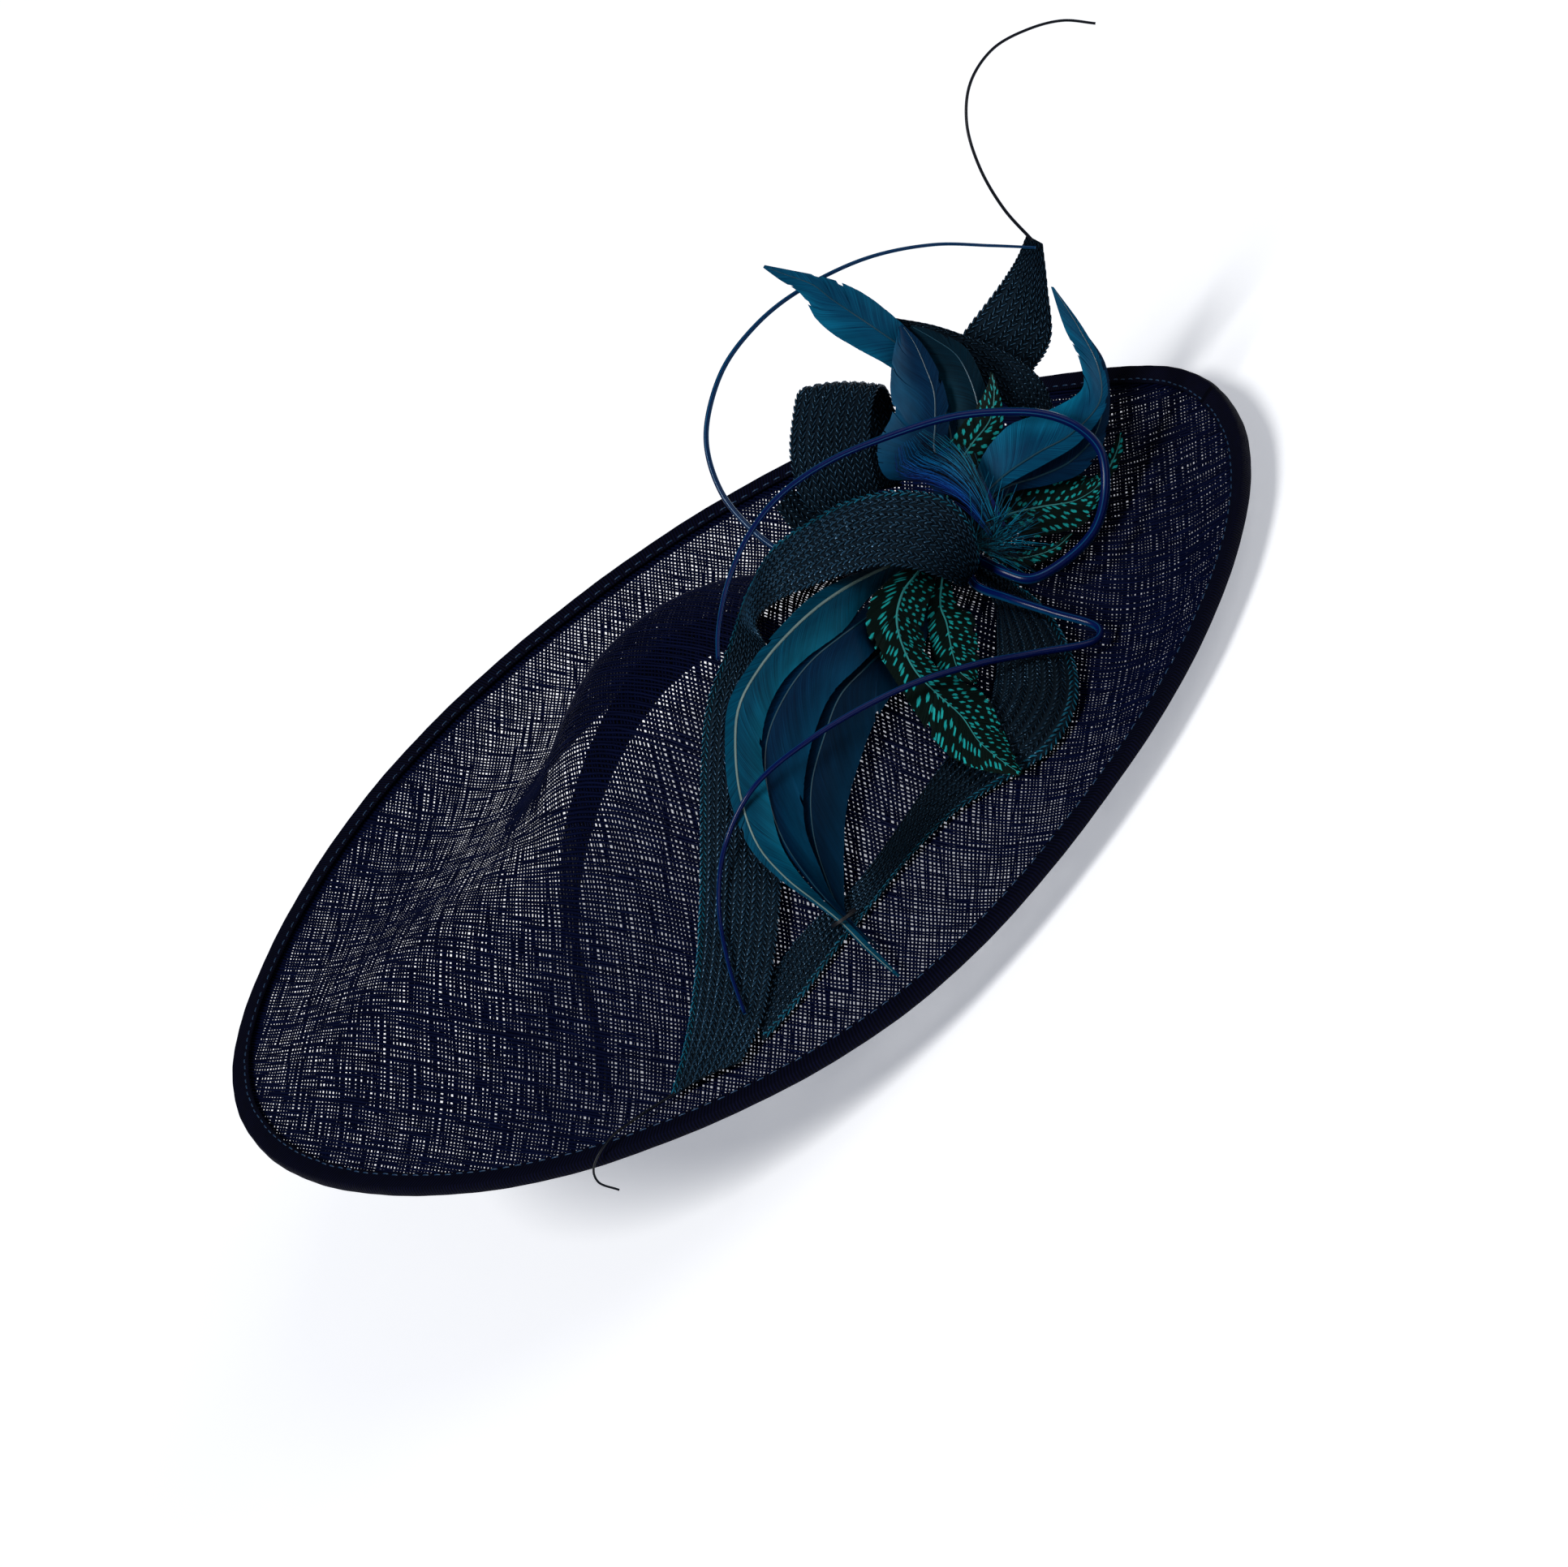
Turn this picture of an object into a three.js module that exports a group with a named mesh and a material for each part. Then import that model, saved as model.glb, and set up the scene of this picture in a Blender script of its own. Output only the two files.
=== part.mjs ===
// Oval saucer hat of open woven straw cloth, with a bound rim, a headband under
// the crown and a trim of plaited straw bands, feathers and stripped quills.
// Millimetres. The hat is laid out with its rim in the XY plane, the long way
// along X and the front towards -Y, and is then leaned over to stand on the two
// ends of its headband and one point of its rim.
import * as THREE from 'three';

// Brim and crown
const BRIM_HALF_LENGTH = 225;
const BRIM_HALF_WIDTH = 195;
const CROWN_HEIGHT = 66;
const CROWN_CENTRE_X = 5;
const CROWN_CENTRE_Y = 5;
const CLOTH = 1.5;

// Ribbon folded over the rim
const RIBBON = 1.0;
const BINDING_WIDTH = 8;

// Space left between neighbouring pieces
const CLEAR = 0.3;

// Headband
const BAND_WIDTH = 28;
const BAND_TIP_WIDTH = 8;
const BAND_THICKNESS = 2.4;
const BAND_TIP_THICKNESS = 3.4;
const BAND_REACH = 100;

// Trim: tables of bands, feathers and quills hold shares of TRIM_REACH
const TRIM_REACH = 100;
const STAND_OFF = 5;
const STRAW = 1.5;
const FEATHER = 1.0;
const PAD_HALF_LENGTH = 20;
const PAD_HALF_WIDTH = 16;
const PAD_HALF_HEIGHT = 10;
const PAD_X = 111;
const PAD_Y = 7;
const ROOT_WIDTH = 3;
const QUILL_A_WIDTH = 4.2;
const QUILL_B_WIDTH = 2.8;
const QUILL_C_WIDTH = 3.4;
const QUILL_TAPER = 0.38;
const FINE_QUILL_WIDTH = 1.3;
const FILAMENT_WIDTH = 1.0;
const FINE_TAPER = 0.8;
const THREAD_WIDTH = 1.0;

// Angle by which the plane that the trim is laid out on leans back from upright
const FRONT_LEAN = THREE.MathUtils.degToRad(30);

// The plane is drawn in perspective, from this far in front of this place on it
const SIGHT_DISTANCE = 2100;
const SIGHT_ACROSS = 11.3;
const SIGHT_UP = -10.4;
const RIM_MIDDLE_ACROSS = 1.5;

// How the hat leans when it stands by itself, and the side that it leans up to
const REST_TILT = THREE.MathUtils.degToRad(14.2);
const REST_BEARING = THREE.MathUtils.degToRad(-34);

const V = (x, y, z) => new THREE.Vector3(x, y, z);
const ACROSS = V(1, 0, 0);
const UP = V(0, Math.sin(FRONT_LEAN), Math.cos(FRONT_LEAN));
const FORWARD = V(0, -Math.cos(FRONT_LEAN), Math.sin(FRONT_LEAN));

// Form of the cloth. Each row is a direction, every 30 degrees from +X round by +Y.
// Each column is a height, as a share of the crown's height, at the share of the
// way from the crown's centre to the edge that RING_SHARES gives.
const RING_SHARES = [0, 0.12, 0.2, 0.28, 0.36, 0.46, 0.58, 0.7, 0.82, 0.92, 1];
const PROFILES = [
  [1, 0.95, 0.83, 0.64, 0.42, 0.17, -0.05, -0.14, -0.04, 0.1, 0.21],
  [1, 0.95, 0.83, 0.63, 0.4, 0.15, -0.06, -0.16, -0.14, -0.07, 0],
  [1, 0.95, 0.84, 0.65, 0.43, 0.17, -0.04, -0.13, -0.12, -0.05, 0],
  [1, 0.955, 0.85, 0.68, 0.46, 0.2, -0.02, -0.11, -0.11, -0.05, 0],
  [1, 0.955, 0.85, 0.67, 0.43, 0.17, 0, -0.07, -0.07, -0.02, 0.02],
  [1, 0.955, 0.83, 0.63, 0.41, 0.23, 0.14, 0.07, 0.03, 0.02, 0.025],
  [1, 0.955, 0.83, 0.64, 0.45, 0.37, 0.36, 0.31, 0.22, 0.16, 0.14],
  [1, 0.955, 0.85, 0.69, 0.5, 0.36, 0.28, 0.2, 0.15, 0.15, 0.18],
  [1, 0.96, 0.865, 0.72, 0.55, 0.38, 0.24, 0.14, 0.08, 0.07, 0.09],
  [1, 0.96, 0.87, 0.74, 0.59, 0.41, 0.24, 0.11, 0.04, 0.02, 0.02],
  [1, 0.955, 0.86, 0.71, 0.53, 0.32, 0.12, 0.03, 0.05, 0.13, 0.2],
  [1, 0.955, 0.84, 0.66, 0.45, 0.21, 0, -0.1, -0.02, 0.14, 0.29],
];

const EDGE_HALF_LENGTH = BRIM_HALF_LENGTH - RIBBON - CLEAR;
const EDGE_HALF_WIDTH = BRIM_HALF_WIDTH - RIBBON - CLEAR;

// Smooth curve through heights at uneven places, level at the first
function curveThrough(places, heights, place) {
  const last = places.length - 1;
  const slope = (i) => {
    if (i === 0) return 0;
    const next = Math.min(i + 1, last);
    return (heights[next] - heights[i - 1]) / (places[next] - places[i - 1]);
  };
  let i = 0;
  while (i < last - 1 && place > places[i + 1]) i += 1;
  const step = places[i + 1] - places[i];
  const t = (place - places[i]) / step;
  const rise = t * t * (3 - 2 * t);
  const leave = t * (1 - t) * (1 - t);
  const arrive = t * t * (t - 1);
  return heights[i] + (heights[i + 1] - heights[i]) * rise
    + step * (leave * slope(i) + arrive * slope(i + 1));
}

function clothHeight(angle, share) {
  const turn = (angle / (2 * Math.PI)) * PROFILES.length;
  const row = Math.floor(turn);
  const t = turn - row;
  const at = (k) => {
    const index = (((row + k) % PROFILES.length) + PROFILES.length) % PROFILES.length;
    return curveThrough(RING_SHARES, PROFILES[index], share);
  };
  const [before, here, next, after] = [at(-1), at(0), at(1), at(2)];
  const blend = here + 0.5 * t * (next - before
    + t * (2 * before - 5 * here + 4 * next - after
    + t * (3 * (here - next) + after - before)));
  return CROWN_HEIGHT * blend;
}

function clothPoint(angle, share) {
  const x = CROWN_CENTRE_X * (1 - share) + share * EDGE_HALF_LENGTH * Math.cos(angle);
  const y = CROWN_CENTRE_Y * (1 - share) + share * EDGE_HALF_WIDTH * Math.sin(angle);
  return V(x, y, clothHeight(angle, share));
}

// Height of the cloth over a place in the rim's plane
function heightOver(x, y) {
  const [across, along] = [x - CROWN_CENTRE_X, y - CROWN_CENTRE_Y];
  const [a2, b2] = [EDGE_HALF_LENGTH ** 2, EDGE_HALF_WIDTH ** 2];
  const square = CROWN_CENTRE_X ** 2 / a2 + CROWN_CENTRE_Y ** 2 / b2 - 1;
  const middle = (across * CROWN_CENTRE_X) / a2 + (along * CROWN_CENTRE_Y) / b2;
  const rest = across ** 2 / a2 + along ** 2 / b2;
  const share = (-middle - Math.sqrt(middle ** 2 - square * rest)) / square;
  const cosine = (across + CROWN_CENTRE_X * share) / EDGE_HALF_LENGTH;
  const sine = (along + CROWN_CENTRE_Y * share) / EDGE_HALF_WIDTH;
  return clothHeight(Math.atan2(sine, cosine), Math.min(share, 1));
}

function clothNormal(angle, share) {
  const step = 0.01;
  const inner = Math.max(share, step);
  const out = clothPoint(angle, Math.min(inner + step, 1)).sub(clothPoint(angle, inner - step));
  const round = clothPoint(angle + step, inner).sub(clothPoint(angle - step, inner));
  return out.cross(round).normalize();
}

// A closed body from rings of equally many points, with a flat cap on each end,
// or joined end to end where it runs round in a loop
function bodyFromRings(rings, loop = false) {
  const around = rings[0].length;
  const positions = rings.flat().flatMap((p) => [p.x, p.y, p.z]);
  const faces = [];
  const spans = loop ? rings.length : rings.length - 1;
  for (let i = 0; i < spans; i += 1) {
    const next = (i + 1) % rings.length;
    for (let j = 0; j < around; j += 1) {
      const k = (j + 1) % around;
      const [a, b] = [i * around + j, i * around + k];
      const [c, d] = [next * around + j, next * around + k];
      faces.push(a, b, d, a, d, c);
    }
  }
  if (!loop) {
    const last = (rings.length - 1) * around;
    for (let j = 1; j < around - 1; j += 1) {
      faces.push(0, j + 1, j, last, last + j, last + j + 1);
    }
  }
  return closedGeometry(positions, faces);
}

function closedGeometry(positions, faces) {
  const corner = (i) => V(positions[3 * i], positions[3 * i + 1], positions[3 * i + 2]);
  let volume = 0;
  for (let i = 0; i < faces.length; i += 3) {
    volume += corner(faces[i]).dot(corner(faces[i + 1]).cross(corner(faces[i + 2])));
  }
  if (volume < 0) faces.reverse();
  const geometry = new THREE.BufferGeometry();
  geometry.setAttribute('position', new THREE.Float32BufferAttribute(positions, 3));
  geometry.setIndex(faces);
  geometry.computeVertexNormals();
  return geometry;
}

// Places round the rim, and rings from the crown to the edge
const STATIONS = 64;
const RINGS = 13;

// Crown and brim: an upper and a lower skin, joined round the edge
function crownAndBrim() {
  const positions = [];
  const faces = [];
  const skin = (side) => {
    const first = positions.length / 3;
    const add = (angle, share) => {
      const point = clothPoint(angle, share);
      point.addScaledVector(clothNormal(angle, share), (side * CLOTH) / 2);
      positions.push(point.x, point.y, point.z);
    };
    const top = V(CROWN_CENTRE_X, CROWN_CENTRE_Y, CROWN_HEIGHT + (side * CLOTH) / 2);
    positions.push(top.x, top.y, top.z);
    for (let ring = 1; ring <= RINGS; ring += 1) {
      for (let i = 0; i < STATIONS; i += 1) {
        add((2 * Math.PI * i) / STATIONS, ring / RINGS);
      }
    }
    return first;
  };
  const upper = skin(1);
  const lower = skin(-1);
  const at = (first, ring, i) => first + 1 + (ring - 1) * STATIONS + (i % STATIONS);
  const face = (first, a, b, c) => {
    if (first === upper) faces.push(a, b, c);
    else faces.push(a, c, b);
  };
  for (const first of [upper, lower]) {
    for (let i = 0; i < STATIONS; i += 1) {
      face(first, first, at(first, 1, i), at(first, 1, i + 1));
      for (let ring = 1; ring < RINGS; ring += 1) {
        const [a, b] = [at(first, ring, i), at(first, ring, i + 1)];
        const [c, d] = [at(first, ring + 1, i), at(first, ring + 1, i + 1)];
        face(first, a, c, d);
        face(first, a, d, b);
      }
    }
  }
  for (let i = 0; i < STATIONS; i += 1) {
    const [a, b] = [at(upper, RINGS, i), at(upper, RINGS, i + 1)];
    const [c, d] = [at(lower, RINGS, i), at(lower, RINGS, i + 1)];
    faces.push(a, c, d, a, d, b);
  }
  return closedGeometry(positions, faces);
}

// Rim binding: a ribbon folded over the edge, open towards the crown
function rimBinding() {
  const gap = CLOTH / 2 + 1.8 * CLEAR;
  const skin = gap + RIBBON;
  const back = CLEAR + RIBBON - BINDING_WIDTH;
  const section = [
    [back, gap], [CLEAR, gap], [CLEAR, -gap], [back, -gap], [back, -skin],
    [CLEAR, -skin], [CLEAR + RIBBON, -gap], [CLEAR + RIBBON, gap], [CLEAR, skin], [back, skin],
  ];
  const rings = [];
  for (let i = 0; i < STATIONS; i += 1) {
    const angle = (2 * Math.PI * i) / STATIONS;
    const edge = clothPoint(angle, 1);
    const out = edge.clone().sub(clothPoint(angle, 1 - 1 / RINGS)).normalize();
    const along = clothPoint(angle + 0.01, 1).sub(clothPoint(angle - 0.01, 1));
    const normal = out.clone().cross(along).normalize();
    rings.push(section.map(([o, n]) => edge.clone()
      .addScaledVector(out, o).addScaledVector(normal, n)));
  }
  return bodyFromRings(rings, true);
}

const clothGeometry = crownAndBrim();
const bindingGeometry = rimBinding();

// The plane that the hat stands on: its upward direction and its place
const floorUp = V(
  -Math.sin(REST_TILT) * Math.cos(REST_BEARING),
  -Math.sin(REST_TILT) * Math.sin(REST_BEARING),
  Math.cos(REST_TILT),
);
const lowest = (geometry) => {
  const place = geometry.getAttribute('position');
  let level = Infinity;
  for (let i = 0; i < place.count; i += 1) {
    level = Math.min(level, V(0, 0, 0).fromBufferAttribute(place, i).dot(floorUp));
  }
  return level;
};
const floorLevel = Math.min(lowest(clothGeometry), lowest(bindingGeometry));

// Headband: its route from the front leg over the head to the back leg, as shares
// of BAND_REACH along X, Y and Z, and how far it has widened from tip to full width
const BAND_ROUTE = [
  [-1.21, -0.04, -0.92, 0],
  [-0.99, -0.05, -0.39, 0.35],
  [-0.85, -0.05, -0.04, 0.65],
  [-0.67, -0.05, 0.21, 0.85],
  [-0.41, -0.05, 0.43, 0.95],
  [-0.17, -0.05, 0.56, 1],
  [0.05, -0.05, 0.611, 1],
  [0.25, -0.02, 0.56, 1],
  [0.39, 0.04, 0.41, 0.95],
  [0.45, 0.12, 0.15, 0.8],
  [0.38, 0.2, -0.15, 0.6],
  [0.24, 0.27, -0.4, 0.3],
  [0.08, 0.33, -0.72, 0],
];
const BAND_STEPS = 34;

// Its section is flat over BAND_FLAT of its width, and keeps BAND_EDGE of its
// thickness at the edges
const BAND_FLAT = 0.8;
const BAND_EDGE = 0.3;
const MIDDLE = 0.5;
const HALVINGS = 20;

// Where a curve meets the floor between a place below it and one above
function floorCrossing(curve, below, above) {
  let [low, high] = [below, above];
  for (let i = 0; i < HALVINGS; i += 1) {
    const t = (low + high) / 2;
    if (curve.getPoint(t).dot(floorUp) < floorLevel) low = t;
    else high = t;
  }
  return high;
}

function headband() {
  const points = BAND_ROUTE.map(([x, y, z]) => V(x, y, z).multiplyScalar(BAND_REACH));
  const curve = new THREE.CatmullRomCurve3(points, false, 'centripetal');
  const start = floorCrossing(curve, 0, MIDDLE);
  const end = floorCrossing(curve, 1, MIDDLE);
  const rings = [];
  for (let i = 0; i <= BAND_STEPS; i += 1) {
    const t = THREE.MathUtils.lerp(start, end, i / BAND_STEPS);
    const centre = curve.getPoint(t);
    const tangent = curve.getTangent(t);
    const place = t * (BAND_ROUTE.length - 1);
    const row = Math.min(Math.floor(place), BAND_ROUTE.length - 2);
    const full = THREE.MathUtils.lerp(BAND_ROUTE[row][3], BAND_ROUTE[row + 1][3], place - row);
    const half = THREE.MathUtils.lerp(BAND_TIP_WIDTH, BAND_WIDTH, full) / 2;
    const thick = THREE.MathUtils.lerp(BAND_TIP_THICKNESS, BAND_THICKNESS, full) / 2;
    const side = V(0, 1, 0).addScaledVector(tangent, -tangent.y).normalize();
    const normal = side.clone().cross(tangent).normalize();
    const [flat, edge] = [half * BAND_FLAT, thick * BAND_EDGE];
    const section = [
      [-half, -edge], [-flat, -thick], [flat, -thick], [half, -edge],
      [half, edge], [flat, thick], [-flat, thick], [-half, edge],
    ];
    const ring = section.map(([s, n]) => centre.clone()
      .addScaledVector(side, s).addScaledVector(normal, n));
    if (i === 0 || i === BAND_STEPS) {
      for (const corner of ring) {
        const slide = (floorLevel - corner.dot(floorUp)) / tangent.dot(floorUp);
        corner.addScaledVector(tangent, slide);
      }
    }
    rings.push(ring);
  }
  return bodyFromRings(rings);
}

// A place as it is drawn, across and up, on its line of sight at a depth
function sighted(across, up, forward) {
  const near = 1 - forward / SIGHT_DISTANCE;
  return V(0, 0, 0)
    .addScaledVector(ACROSS, SIGHT_ACROSS - RIM_MIDDLE_ACROSS + (across - SIGHT_ACROSS) * near)
    .addScaledVector(UP, SIGHT_UP + (up - SIGHT_UP) * near)
    .addScaledVector(FORWARD, forward);
}

// Depth at which the line of sight at a place meets the hat's front. Above the
// crown's skyline it is the depth of the skyline.
function depthOfFront(across, up) {
  const reach = Math.min(Math.abs(across) / EDGE_HALF_LENGTH, 0.999);
  const rim = EDGE_HALF_WIDTH * Math.sqrt(1 - reach ** 2);
  const at = (y) => {
    const first = V(across, y, heightOver(across, y)).dot(FORWARD);
    const x = sighted(across, up, first).x;
    const point = V(x, y, heightOver(x, y));
    const forward = point.dot(FORWARD);
    const seen = SIGHT_UP + (point.dot(UP) - SIGHT_UP) / (1 - forward / SIGHT_DISTANCE);
    return { seen, forward };
  };
  const step = rim / 60;
  let best = at(-rim);
  for (let y = -rim + step; y <= rim; y += step) {
    const next = at(y);
    if (next.seen >= up) {
      const part = Math.max(0, (up - best.seen) / (next.seen - best.seen));
      return THREE.MathUtils.lerp(best.forward, next.forward, part);
    }
    if (next.seen > best.seen) best = next;
  }
  return best.forward;
}

const share = (value) => value * TRIM_REACH;

// A place at a lift off the cloth, towards the front
const lying = (across, up, lift) => (
  sighted(share(across), share(up), depthOfFront(share(across), share(up)) + share(lift))
);

// A place before or behind the leaning plane through the hat's centre, but clear of the cloth
const standing = (across, up, forward) => {
  let depth = share(forward);
  if (Math.abs(share(across)) < EDGE_HALF_LENGTH) {
    depth = Math.max(depth, depthOfFront(share(across), share(up)) + STAND_OFF);
  }
  return sighted(share(across), share(up), depth);
};

// Rows of two edges: across, up and lift or forward of one, then of the other
const edges = (place, rows) => rows.map((row) => [
  place(row[0], row[1], row[2]),
  place(row[3], row[4], row[5]),
]);
const route = (place, rows) => rows.map((row) => place(...row));

// Pad: the hidden base of the trim, raised until it clears the cloth
const PAD_GRID = 10;
const padRadii = V(PAD_HALF_LENGTH, PAD_HALF_WIDTH, PAD_HALF_HEIGHT);
const padCentre = (() => {
  let level = -Infinity;
  for (let i = -PAD_GRID; i <= PAD_GRID; i += 1) {
    for (let j = -PAD_GRID; j <= PAD_GRID; j += 1) {
      const [x, y] = [i / PAD_GRID, j / PAD_GRID];
      const bulge = Math.sqrt(Math.max(0, 1 - x * x - y * y)) * PAD_HALF_HEIGHT;
      if (bulge > 0) {
        const cloth = heightOver(PAD_X + x * PAD_HALF_LENGTH, PAD_Y + y * PAD_HALF_WIDTH);
        level = Math.max(level, cloth + bulge);
      }
    }
  }
  return V(PAD_X, PAD_Y, level + CLOTH / 2 + 2.2 * CLEAR);
})();

const PAD_AROUND = 16;
const PAD_DOWN = 9;

function trimPad() {
  const geometry = new THREE.SphereGeometry(1, PAD_AROUND, PAD_DOWN);
  geometry.rotateX(Math.PI / 2);
  geometry.scale(padRadii.x, padRadii.y, padRadii.z);
  geometry.translate(padCentre.x, padCentre.y, padCentre.z);
  return geometry;
}

// Where a piece on its way to a point leaves the pad: its end face is ROOT_GAP off
// the pad, given how far that face reaches along its side and its thickness
const ROOT_GAP = 0.6 * CLEAR;

function fromPad(point, halfSide, halfThick) {
  const way = point.clone().sub(padCentre);
  const scale = way.clone().divide(padRadii).length();
  const seat = padCentre.clone().addScaledVector(way, 1 / scale);
  const out = way.clone().divide(padRadii).divide(padRadii).normalize();
  const reach = (half) => Math.abs(half.dot(out));
  return seat.addScaledVector(out, ROOT_GAP + reach(halfSide) + reach(halfThick));
}

const STRAW_POINTS = 4;

// A strip of cloth or a feather's vane between two edges
function strip({ rows, thick, steps, points = 3, camber = 0.06, rooted = true }) {
  const all = [...rows];
  if (rooted) {
    const [a, b] = rows[0];
    const centre = a.clone().lerp(b, 0.5);
    const half = b.clone().sub(a).setLength(ROOT_WIDTH / 2);
    const face = half.clone().cross(centre.clone().sub(padCentre)).setLength(thick / 2);
    const root = fromPad(centre, half, face);
    all.unshift([root.clone().sub(half), root.add(half)]);
  }
  const left = new THREE.CatmullRomCurve3(all.map((row) => row[0]), false, 'centripetal');
  const right = new THREE.CatmullRomCurve3(all.map((row) => row[1]), false, 'centripetal');
  const frame = (t) => {
    const [a, b] = [left.getPoint(t), right.getPoint(t)];
    const side = b.clone().sub(a);
    const tangent = left.getTangent(t).add(right.getTangent(t)).normalize();
    return { a, side, normal: side.clone().cross(tangent).normalize() };
  };
  const facing = Math.sign(frame(0.5).normal.dot(FORWARD));
  const rings = [];
  for (let i = 0; i <= steps; i += 1) {
    const { a, side, normal } = frame(i / steps);
    const rise = facing * camber * side.length();
    const top = [];
    const bottom = [];
    for (let j = 0; j < points; j += 1) {
      const s = j / (points - 1);
      const middle = a.clone().addScaledVector(side, s)
        .addScaledVector(normal, rise * Math.sin(Math.PI * s));
      top.push(middle.clone().addScaledVector(normal, thick / 2));
      bottom.unshift(middle.addScaledVector(normal, -thick / 2));
    }
    rings.push([...top, ...bottom]);
  }
  return bodyFromRings(rings);
}

// A quill: a round rod that tapers along its route
const QUILL_SIDES = 6;

function quill({ points, width, taper = QUILL_TAPER, steps, rooted = true }) {
  const all = [...points];
  if (rooted) {
    const way = points[0].clone().sub(padCentre);
    const side = way.clone().cross(ACROSS).setLength(width / 2);
    all.unshift(fromPad(points[0], side, side.clone().cross(way).setLength(width / 2)));
  }
  const curve = new THREE.CatmullRomCurve3(all, false, 'centripetal');
  const frames = curve.computeFrenetFrames(steps, false);
  const rings = [];
  for (let i = 0; i <= steps; i += 1) {
    const t = i / steps;
    const centre = curve.getPointAt(t);
    const radius = (width / 2) * THREE.MathUtils.lerp(1, taper, t);
    const ring = [];
    for (let j = 0; j < QUILL_SIDES; j += 1) {
      const angle = (2 * Math.PI * j) / QUILL_SIDES;
      ring.push(centre.clone()
        .addScaledVector(frames.normals[i], radius * Math.cos(angle))
        .addScaledVector(frames.binormals[i], radius * Math.sin(angle)));
    }
    rings.push(ring);
  }
  return bodyFromRings(rings);
}

// Bands of plaited straw
const FRONT_LOOP = [
  ...edges(standing, [
    [1.17, 0.12, 0.26, 1.08, 0.09, 0.25],
    [1.24, 0.24, 0.28, 1.03, 0.16, 0.34],
    [1.23, 0.38, 0.26, 0.96, 0.25, 0.4],
    [1.11, 0.51, 0.22, 0.87, 0.33, 0.43],
    [0.95, 0.59, 0.18, 0.75, 0.38, 0.44],
    [0.77, 0.62, 0.16, 0.62, 0.42, 0.44],
    [0.6, 0.62, 0.18, 0.49, 0.45, 0.45],
    [0.44, 0.55, 0.3, 0.38, 0.43, 0.55],
  ]),
  ...edges(lying, [
    [0.25, 0.43, 0.055, 0.36, 0.29, 0.065],
    [0.05, 0.3, 0.04, 0.3, 0.12, 0.045],
    [-0.11, 0.12, 0.03, 0.16, -0.05, 0.035],
    [-0.2, 0, 0.03, 0.06, -0.17, 0.03],
    [-0.38, -0.24, 0.04, -0.12, -0.41, 0.055],
    [-0.57, -0.47, 0.055, -0.31, -0.62, 0.085],
    [-0.76, -0.66, 0.06, -0.48, -0.77, 0.085],
    [-0.92, -0.79, 0.045, -0.62, -0.84, 0.06],
  ]),
];
const RIGHT_LOOP = edges(lying, [
  [1.23, 0, 0.06, 1.13, -0.03, 0.07],
  [1.28, -0.18, 0.1, 1.06, -0.14, 0.14],
  [1.24, -0.41, 0.07, 0.97, -0.25, 0.12],
  [1.13, -0.54, 0.06, 0.9, -0.31, 0.1],
  [0.97, -0.6, 0.05, 0.8, -0.35, 0.09],
  [0.79, -0.59, 0.035, 0.67, -0.38, 0.09],
  [0.57, -0.57, 0.035, 0.5, -0.43, 0.12],
  [0.34, -0.6, 0.035, 0.3, -0.5, 0.1],
  [0.12, -0.66, 0.035, 0.06, -0.57, 0.036],
  [-0.1, -0.72, 0.035, -0.12, -0.58, 0.036],
  [-0.32, -0.79, 0.033, -0.28, -0.62, 0.033],
  [-0.52, -0.83, 0.033, -0.44, -0.68, 0.033],
]);
const UPRIGHT_LOOP = edges(standing, [
  [0.84, 0.58, 0.02, 1.03, 0.5, 0.02],
  [0.78, 0.67, 0.03, 1.05, 0.58, 0.03],
  [0.84, 0.85, 0.04, 1.13, 0.73, 0.04],
  [0.93, 0.96, 0.02, 1.21, 0.82, 0.02],
  [1.01, 1.03, -0.02, 1.27, 0.86, -0.04],
  [1.05, 1.01, -0.09, 1.29, 0.84, -0.12],
  [1.03, 0.92, -0.15, 1.27, 0.76, -0.18],
  [0.98, 0.75, -0.17, 1.2, 0.64, -0.19],
  [0.97, 0.6, -0.15, 1.12, 0.52, -0.15],
]);
const SHORT_END = edges(standing, [
  [0.88, 0.42, -0.06, 0.96, 0.47, -0.08],
  [0.78, 0.51, -0.06, 0.88, 0.57, -0.08],
  [0.7, 0.6, -0.05, 0.81, 0.66, -0.07],
  [0.69, 0.73, -0.06, 0.79, 0.76, -0.08],
]);
const POINTED_END = edges(standing, [
  [1.4, 0.52, -0.15, 1.34, 0.66, -0.15],
  [1.6, 0.56, -0.18, 1.5, 0.8, -0.18],
  [1.76, 0.57, -0.2, 1.66, 0.855, -0.2],
  [1.88, 0.62, -0.2, 1.85, 0.91, -0.2],
  [1.99, 0.79, -0.18, 1.96, 0.95, -0.18],
  [2.07, 0.93, -0.16, 2.04, 0.995, -0.16],
]);
const BACK_LOOP = edges(standing, [
  [1.5, 0.26, -0.02, 1.46, 0.18, -0.02],
  [1.66, 0.33, -0.04, 1.56, 0.28, -0.04],
  [1.74, 0.42, -0.06, 1.63, 0.37, -0.06],
  [1.77, 0.53, -0.08, 1.61, 0.49, -0.08],
  [1.74, 0.66, -0.09, 1.58, 0.61, -0.09],
  [1.66, 0.8, -0.09, 1.53, 0.73, -0.09],
  [1.57, 0.93, -0.08, 1.48, 0.84, -0.08],
  [1.47, 1.035, -0.07, 1.44, 0.96, -0.07],
]);

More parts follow.
